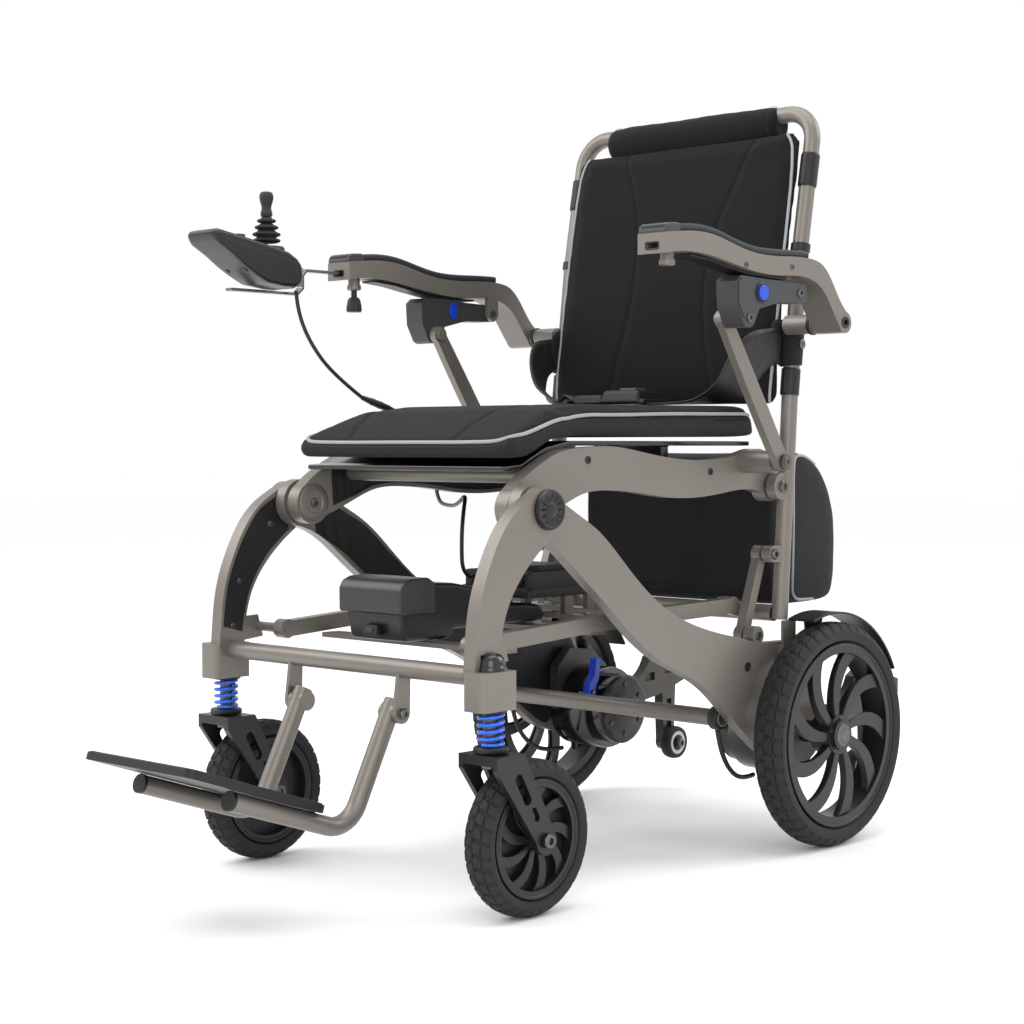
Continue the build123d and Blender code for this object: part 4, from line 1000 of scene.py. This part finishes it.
# ---- armrests and back details ----
def arm_details():
    """Noses, inserts, bosses and screws of the armrests, and the details of their brackets."""
    for sign, side in SIDES:
        body = f"armrest_{side}"
        y = sign * ARM_Y
        nose = [(372, 783), (373, 793.4), (377, 794.6), (394, 793.4), (399, 790.4), (400.6, 785),
                (400.6, 781.5)]
        slab(f"arm_nose_{side}", nose, (254, 296), DARK_GREY, body, 1.8, sign)
        slot_frame(side, y)
        lathe(f"arm_boss_{side}", [(5, 0), (9.6, 0), (9.6, 5.5), (8.4, 6.8), (5, 6.8)], (372, y, 752.4),
              (0, 0, -1), TITANIUM, body, steps=32)
        under = [(345, 760.5), (308, 758), (270, 752), (231, 746), (171, 744), (150, 744), (150, 741.6),
                 (171, 741.4), (231, 743.2), (270, 749), (308, 755), (345, 758)]
        slab(f"arm_insert_{side}", under, (262, 288), BLACK_PLASTIC, body, 0, sign)
        for i, (x, z) in enumerate(((246, 753.5), (150, 757)), 1):
            bolt(f"arm_screw_{side}_{i}", (x, sign * 296.9, z), (0, sign, 0), 3.8, 1.2, body)
        bolt(f"arm_pivot_screw_{side}", (32, sign * 290.8, 693), (0, sign, 0), 8.4, 7.6, body, SATIN_BLACK)
        body = f"arm_bracket_{side}"
        for i, (x, z) in enumerate(((126, 726), (232, 690)), 1):
            bolt(f"bracket_bolt_{side}_{i}", (x, sign * BRACKET_FACE_Y, z), (0, sign, 0), 5.6, 2.6, body)
        lathe(f"button_collar_{side}", [(10.2, 0), (13, 0), (13, 1.2), (12, 1.8), (10.2, 1.8), (10.2, 0)],
              (207, sign * BRACKET_FACE_Y, 722), (0, sign, 0), BLACK_PLASTIC, body, steps=48)
        oval = [(195 + 7.5 * math.cos(a), 726 + 12.5 * math.sin(a))
                for a in np.linspace(0, 2 * math.pi, 25)[:-1]]
        slab(f"inner_button_{side}", oval, (258.8, 260.6), BLUE, body, 0.6, sign)
        ridge = [(240, 735.5), (252, 731), (251, 708), (240, 690), (244, 690), (255, 707), (255.5, 733),
                 (249, 738.5)]
        slab(f"bracket_ridge_{side}", ridge, (291.5, 293.4), DARK_GREY, body, 0.6, sign)


def slot_frame(side, y):
    """Lip round the accessory slot in the beam's front end."""
    corners = [(-9.4, 763), (9.4, 763), (9.4, 771), (-9.4, 771)]
    line = []
    for (ya, za), (yb, zb) in zip(corners, corners[1:] + corners[:1]):
        line += [at(400.2, y + ya + (yb - ya) * t, za + (zb - za) * t) for t in (0.08, 0.5, 0.92)]
    swept(f"arm_slot_frame_{side}", line, round_section(1.0, 8), BLACK_PLASTIC, f"armrest_{side}",
          up=(1, 0, 0), closed=True)


def side_panel(sign, side):
    """Short fabric wing ahead of the back tube, sewn to a band round the tube."""
    outer = [(24, 700), (40, 701), (52, 694), (56, 668), (48, 648), (36, 640), (27, 640), (25, 660)]
    line = smooth_line([(x, z, 0) for x, z in outer + outer[:1]], 6)[:-1]
    inner = [Vector((41 + (p.x - 41) * 0.55, 669 + (p.y - 669) * 0.55, 0)) for p in line]
    vertices, n = [], len(line)
    for ring, bow in ((line, 0.0), (inner, 5.0)):
        for p in ring:
            vertices.append(at(p.x, sign * (195.6 + bow * (p.x - 20) / 90), p.y))
    vertices.append(at(41, sign * 198.5, 669))
    faces = loft_faces(2, n, ends=False) + [(n + j, n + (j + 1) % n, 2 * n) for j in range(n)]
    wing = piece(f"side_wing_{side}", vertices, faces, BAND_FABRIC, "back_frame", sharp=180)
    thickened(wing, 0.0028)
    seam = [p for p in line if p.x > 30]
    edge = [at(41 + (p.x - 41) * 0.90, sign * (197.2 + 0.4 * (p.x - 20) / 90), 669 + (p.y - 669) * 0.90)
            for p in seam]
    thread = stitched(f"wing_stitches_{side}", edge, "back_frame")
    crushed([wing, thread])
    wrap = [at(23.5 + 14.4 * math.cos(a), sign * TUBE_Y + 14.4 * math.sin(a), 0)
            for a in np.linspace(0, 2 * math.pi, 33)[:-1]]
    vertices = []
    levels = ((640, 0.98), (642, 1.0), (698, 1.0), (700, 0.98))
    for z, k in levels:
        drift = (z - 640) * -0.118
        centre = at(23.5, sign * TUBE_Y, 0)
        vertices += [centre + (p - centre) * k + Vector((drift / 1000 - 0.0015, 0, z / 1000)) for p in wrap]
    faces = loft_faces(len(levels), len(wrap), ends=False)
    band = piece(f"tube_band_{side}", vertices, faces, BAND_FABRIC, "back_frame", sharp=60)
    thickened(band, 0.0016, offset=-1)
    lathe(f"tube_band_eyelet_{side}", [(3.2, 0), (6.5, 0), (6.5, 1.2), (5.2, 1.8), (3.2, 1.2)],
          (18, sign * 219.4, 668), (0, sign, 0), STEEL, "back_frame", steps=32)


def belt(name, upper, lower):
    """Wide webbing laid between two edge lines, as thick as its cloth."""
    top = frame_line(upper, 0.008)
    count = len(top)
    fine = frame_line(lower, 0.002)
    low = [fine[round(i * (len(fine) - 1) / (count - 1))] for i in range(count)]
    vertices, faces, n = [], [], 7
    for a, b in zip(top, low):
        vertices += [a.lerp(b, j / (n - 1)) for j in range(n)]
    for i in range(count - 1):
        faces += [(i * n + j, i * n + j + 1, (i + 1) * n + j + 1, (i + 1) * n + j) for j in range(n - 1)]
    strap = piece(name, vertices, faces, WEBBING, "seat_frame", sharp=180)
    thickened(strap, 0.0018)
    return strap


def lap_belt():
    """Two lengths of wide webbing, from beside the tube bands down to a buckle on the seat."""
    z = 590
    sweep = [(34, 198, 690), (62, 198, 688), (98, 192, 680), (122, 178, 650), (128, 160, 616),
             (126, 122, z + 5)]
    below = [(34, 198, 640), (50, 198, 641), (68, 194, 630), (84, 182, 604), (90, 160, z + 2),
             (88, 122, z)]
    right_sweep, right_below = ([(x, -y, h) for x, y, h in line] for line in (sweep, below))
    parts = [belt("belt_left", sweep + [(132, 78, z), (136, 34, z)], below + [(88, 78, z), (88, 34, z)]),
             belt("belt_right", right_sweep + [(132, -104, z + 14), (134, -84, z + 4)],
                  right_below + [(86, -104, z + 12), (88, -84, z + 3)])]
    # name, low corner, high corner, finish, edge, taper
    for name, low, high, finish, edge, taper in (
            ("socket", (86, -36, z), (140, 38, z + 19), BLACK_PLASTIC, 5, 6),
            ("tongue", (92, -90, z), (134, -34, z + 13), BLACK_PLASTIC, 3.5, 4),
            ("release", (100, -10, z + 17), (126, 22, z + 22), DARK_GREY, 1.8, 2),
            ("slider_left", (84, 39, z), (142, 49, z + 6), BLACK_PLASTIC, 1.6, 1),
            ("slider_right", (84, -99, z), (142, -89, z + 6), BLACK_PLASTIC, 1.6, 1)):
        parts.append(block(f"buckle_{name}", low, high, finish, "seat_frame", edge, taper))
    crushed(parts)


# ---- joystick ----
def joystick():
    """Case, buttons, lights, bellows and handle of the joystick, and the grip of its clamp knob."""
    body = "joystick_carrier"
    shell = [(502, 768), (509, 776.5), (524, 785), (560, 793), (600, 800.5), (638, 807), (648, 804.5),
             (649, 800), (644, 791), (620, 777), (600, 763), (580, 751.5), (560, 742), (530, 738.4),
             (512, 738.2), (504, 743), (500.5, 752)]
    widths = [(-29, 0.86), (-27, 0.95), (-21, 1.0), (21, 1.0), (27, 0.95), (29, 0.86)]
    vertices = []
    cx, cz = 570, 770
    for y, k in widths:
        vertices += [at(cx + (x - cx) * (0.5 + k / 2), STICK[1] + y, cz + (z - cz) * k) for x, z in shell]
    case = piece("joystick_case", vertices, loft_faces(len(widths), len(shell)), SATIN_BLACK, body,
                 sharp=50)
    rounded(case, 2.0)
    stands_for("joystick_housing")
    seam = [(503, 764), (524, 773), (560, 780), (600, 788), (634, 797)]
    for sign, side in SIDES:
        line = smooth_line([at(x, STICK[1] + sign * 28.2, z) for x, z in seam], 0.006)
        swept(f"case_parting_{side}", line, round_section(0.9, 8), DARK_GREY, body)
    collar = [(22.4, 781), (24, 787), (23, 791), (21.8, 792), (21, 790.5), (21, 785), (22.4, 781)]
    lathe("boot_collar", collar, (*STICK, 0), UP, BLACK_PLASTIC, body, steps=64)
    for i, (x, y) in enumerate(((596, -14), (602, 0), (596, 14)), 1):
        block(f"case_button_{i}", (x - 6, STICK[1] + y - 5, 799), (x + 6, STICK[1] + y + 5, 803.5),
              DARK_GREY, body, 1.2)
    for i in range(4):
        lathe(f"charge_light_{i + 1}", [(2.0, 0), (2.0, 1.1), (1.4, 1.6), (0, 1.7)],
              (618 + i * 0.1, STICK[1] - 12 + 8 * i, 802.5), (-0.17, 0, 0.98), WHITE_RING, body, steps=16)
    for i, y in enumerate((-18, 18), 1):
        bolt(f"case_screw_{i}", (590, STICK[1] + y, 757), (0.5, 0, -0.86), 3.4, 1.4, body)
    bellows = [(14, 797)]
    for z, r in ((798, 18.2), (806, 18.4), (815, 15.6), (823.5, 12.4)):
        bellows += [(r - 5.2, z - 1.2), (r - 1.2, z), (r, z + 1.4), (r, z + 2.4), (r - 1.2, z + 3.6),
                    (r - 5.2, z + 5)]
    bellows += [(7, 830), (0, 831)]
    boot = lathe("joystick_bellows", bellows, (*STICK, 0), UP, RUBBER, "joystick_gimbal", sharp=70)
    stands_for("joystick_boot")
    handle = [(0, 831), (6.8, 831), (8, 833.5), (7.4, 837), (6.2, 841), (6.6, 845), (8.2, 850),
              (9.2, 855), (9.0, 859), (7.6, 862), (5, 863.2), (0, 863.6)]
    knob = lathe("joystick_handle", handle, (*STICK, 0), UP, ARM_FOAM, "joystick_stick", sharp=60)
    stands_for("joystick_lever")
    profile = [(6, 717), (8.6, 716.4), (10.2, 718), (9.8, 724), (8.0, 733), (6.5, 735.6), (4.2, 736)]
    grip = lathe("clamp_knob_grip", profile, (372, -ARM_Y, 0), UP, BLACK_PLASTIC, "clamp_knob",
                 steps=72, shape=lambda r, h, a: r + (0.5 * math.cos(a * 12) if r > 7 else 0))
    for i, x in enumerate((500, 560), 1):
        bolt(f"mount_screw_{i}", (x, -ARM_Y, 736.6), (0, 0, -1), 5, 2.4, body)


# ---- cords ----
def cord_curve(name, points, radius, body, node):
    """A free cord: a NURBS line with the route's points and a round bevel of the given radius in
    millimetres.
    """
    curve = bpy.data.curves.new(name, "CURVE")
    curve.dimensions = "3D"
    curve.bevel_depth = radius / 1000
    curve.bevel_resolution = 6
    curve.use_fill_caps = True
    spline = curve.splines.new("NURBS")
    spline.points.add(len(points) - 1)
    for control, point in zip(spline.points, points):
        control.co = (*at(*point), 1)
    spline.order_u = 3
    spline.use_endpoint_u = True
    spline.resolution_u = 12
    curve.materials.append(CABLE)
    lead = placed(name, curve)
    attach(lead, body)
    if node:
        stands_for(node)


def cords():
    """The lead from the joystick to the control box, through its connector, and the motors' leads."""
    plug = connector()
    route = [(490, -258, 737.4), (488, -258, 712), (470, -254, 670), (437, -246, 629), (393, -236, 598)]
    cord_curve("joystick_lead", route, CORD_R, "joystick_carrier", "joystick_cable")
    route = [(337, -228, 579), (309, -224, 569.5), (288, -215, 535), (284, -208, 490), (292, -192, 456),
             (316, -150, 452), (348, -100, 454), (368, -70, 464)]
    cord_curve("seat_lead", route, CORD_R, "seat_frame", "seat_cable")
    route = [(368.6, -69.1, 464.3), (381, -50.5, 470.5), (402, -34, 450), (410, -30, 415),
             (408, -30, 362), (377, -30, 362)]
    cord_curve("controller_lead", route, CORD_R, "base_frame", "controller_cable")
    for sign, side in SIDES:
        route = [(154, sign * 184, 167), (148, sign * 184, 140), (126, sign * 182, 108),
                 (92, sign * 178, 90), (58, sign * 172, 92)]
        cord_curve(f"motor_lead_{side}", route, MOTOR_CORD_R, "rear_frame",
                   "motor_cables" if sign > 0 else None)


def connector():
    """In-line connector with a tapered strain relief at each end."""
    start, end = at(393, -236, 598), at(337, -228, 579)
    along = (end - start).normalized()
    length = (end - start).length * 1000
    profile = [(2.7, 0), (3.2, 0.3), (4.4, 14), (4.9, 15), (4.9, 27), (5.2, 28), (5.2, 33), (4.9, 34),
               (4.9, 45), (4.4, 46), (3.2, length - 0.3), (2.7, length)]
    plug = lathe("lead_connector", profile, (393, -236, 598), along, CABLE, "joystick_carrier", steps=32,
                 sharp=50)
    stands_for("cable_connector")
    return plug


# ---- studio ----
def studio():
    """White floor and world, four softboxes, and the camera of the photo."""
    half = FLOOR_HALF
    corners = [(-half, -half, 0), (half, -half, 0), (half, half, 0), (-half, half, 0)]
    mesh = bpy.data.meshes.new("floor")
    mesh.from_pydata(corners, [], [(0, 1, 2, 3)])
    floor = placed("floor", mesh)
    mesh.materials.append(material("pale_floor", (0.985, 0.985, 0.985), 0.6, mottle=0.01, grain_scale=60,
                                   bump=0.0))
    world = bpy.data.worlds.new("studio")
    bpy.context.scene.world = world
    world.use_nodes = True
    background = world.node_tree.nodes["Background"]
    background.inputs["Color"].default_value = (1, 1, 1, 1)
    background.inputs["Strength"].default_value = 1.0
    bpy.context.scene.view_settings.view_transform = "Standard"
    for i, (place, size, power) in enumerate(LAMPS, 1):
        lamp = bpy.data.lights.new(f"softbox_{i}", "AREA")
        lamp.shape = "SQUARE"
        lamp.size = size
        lamp.energy = power
        aimed(placed(f"softbox_{i}", lamp), place, Vector(LAMPS_AIM) - Vector(place))
    lens = bpy.data.cameras.new("camera")
    lens.sensor_width = CAMERA_SENSOR
    lens.lens = CAMERA_LENS
    camera = placed("camera", lens)
    aimed(camera, CAMERA_PLACE, Vector(CAMERA_VIEW))
    bpy.context.scene.camera = camera


def aimed(obj, place, direction):
    """Stands an object at a place and turns it to look along a direction."""
    obj.location = place
    obj.rotation_mode = "QUATERNION"
    obj.rotation_quaternion = direction.to_track_quat("-Z", "Y")


studio()
cords()
seat_cushion()
back_pad()
head_roll()
storage_bag()
finish_nodes()
wheels()
suspension()
frame_details()
base_details()
footrest_details()
arm_details()
for sign, side in SIDES:
    side_panel(sign, side)
lap_belt()
joystick()

bpy.context.view_layer.update()
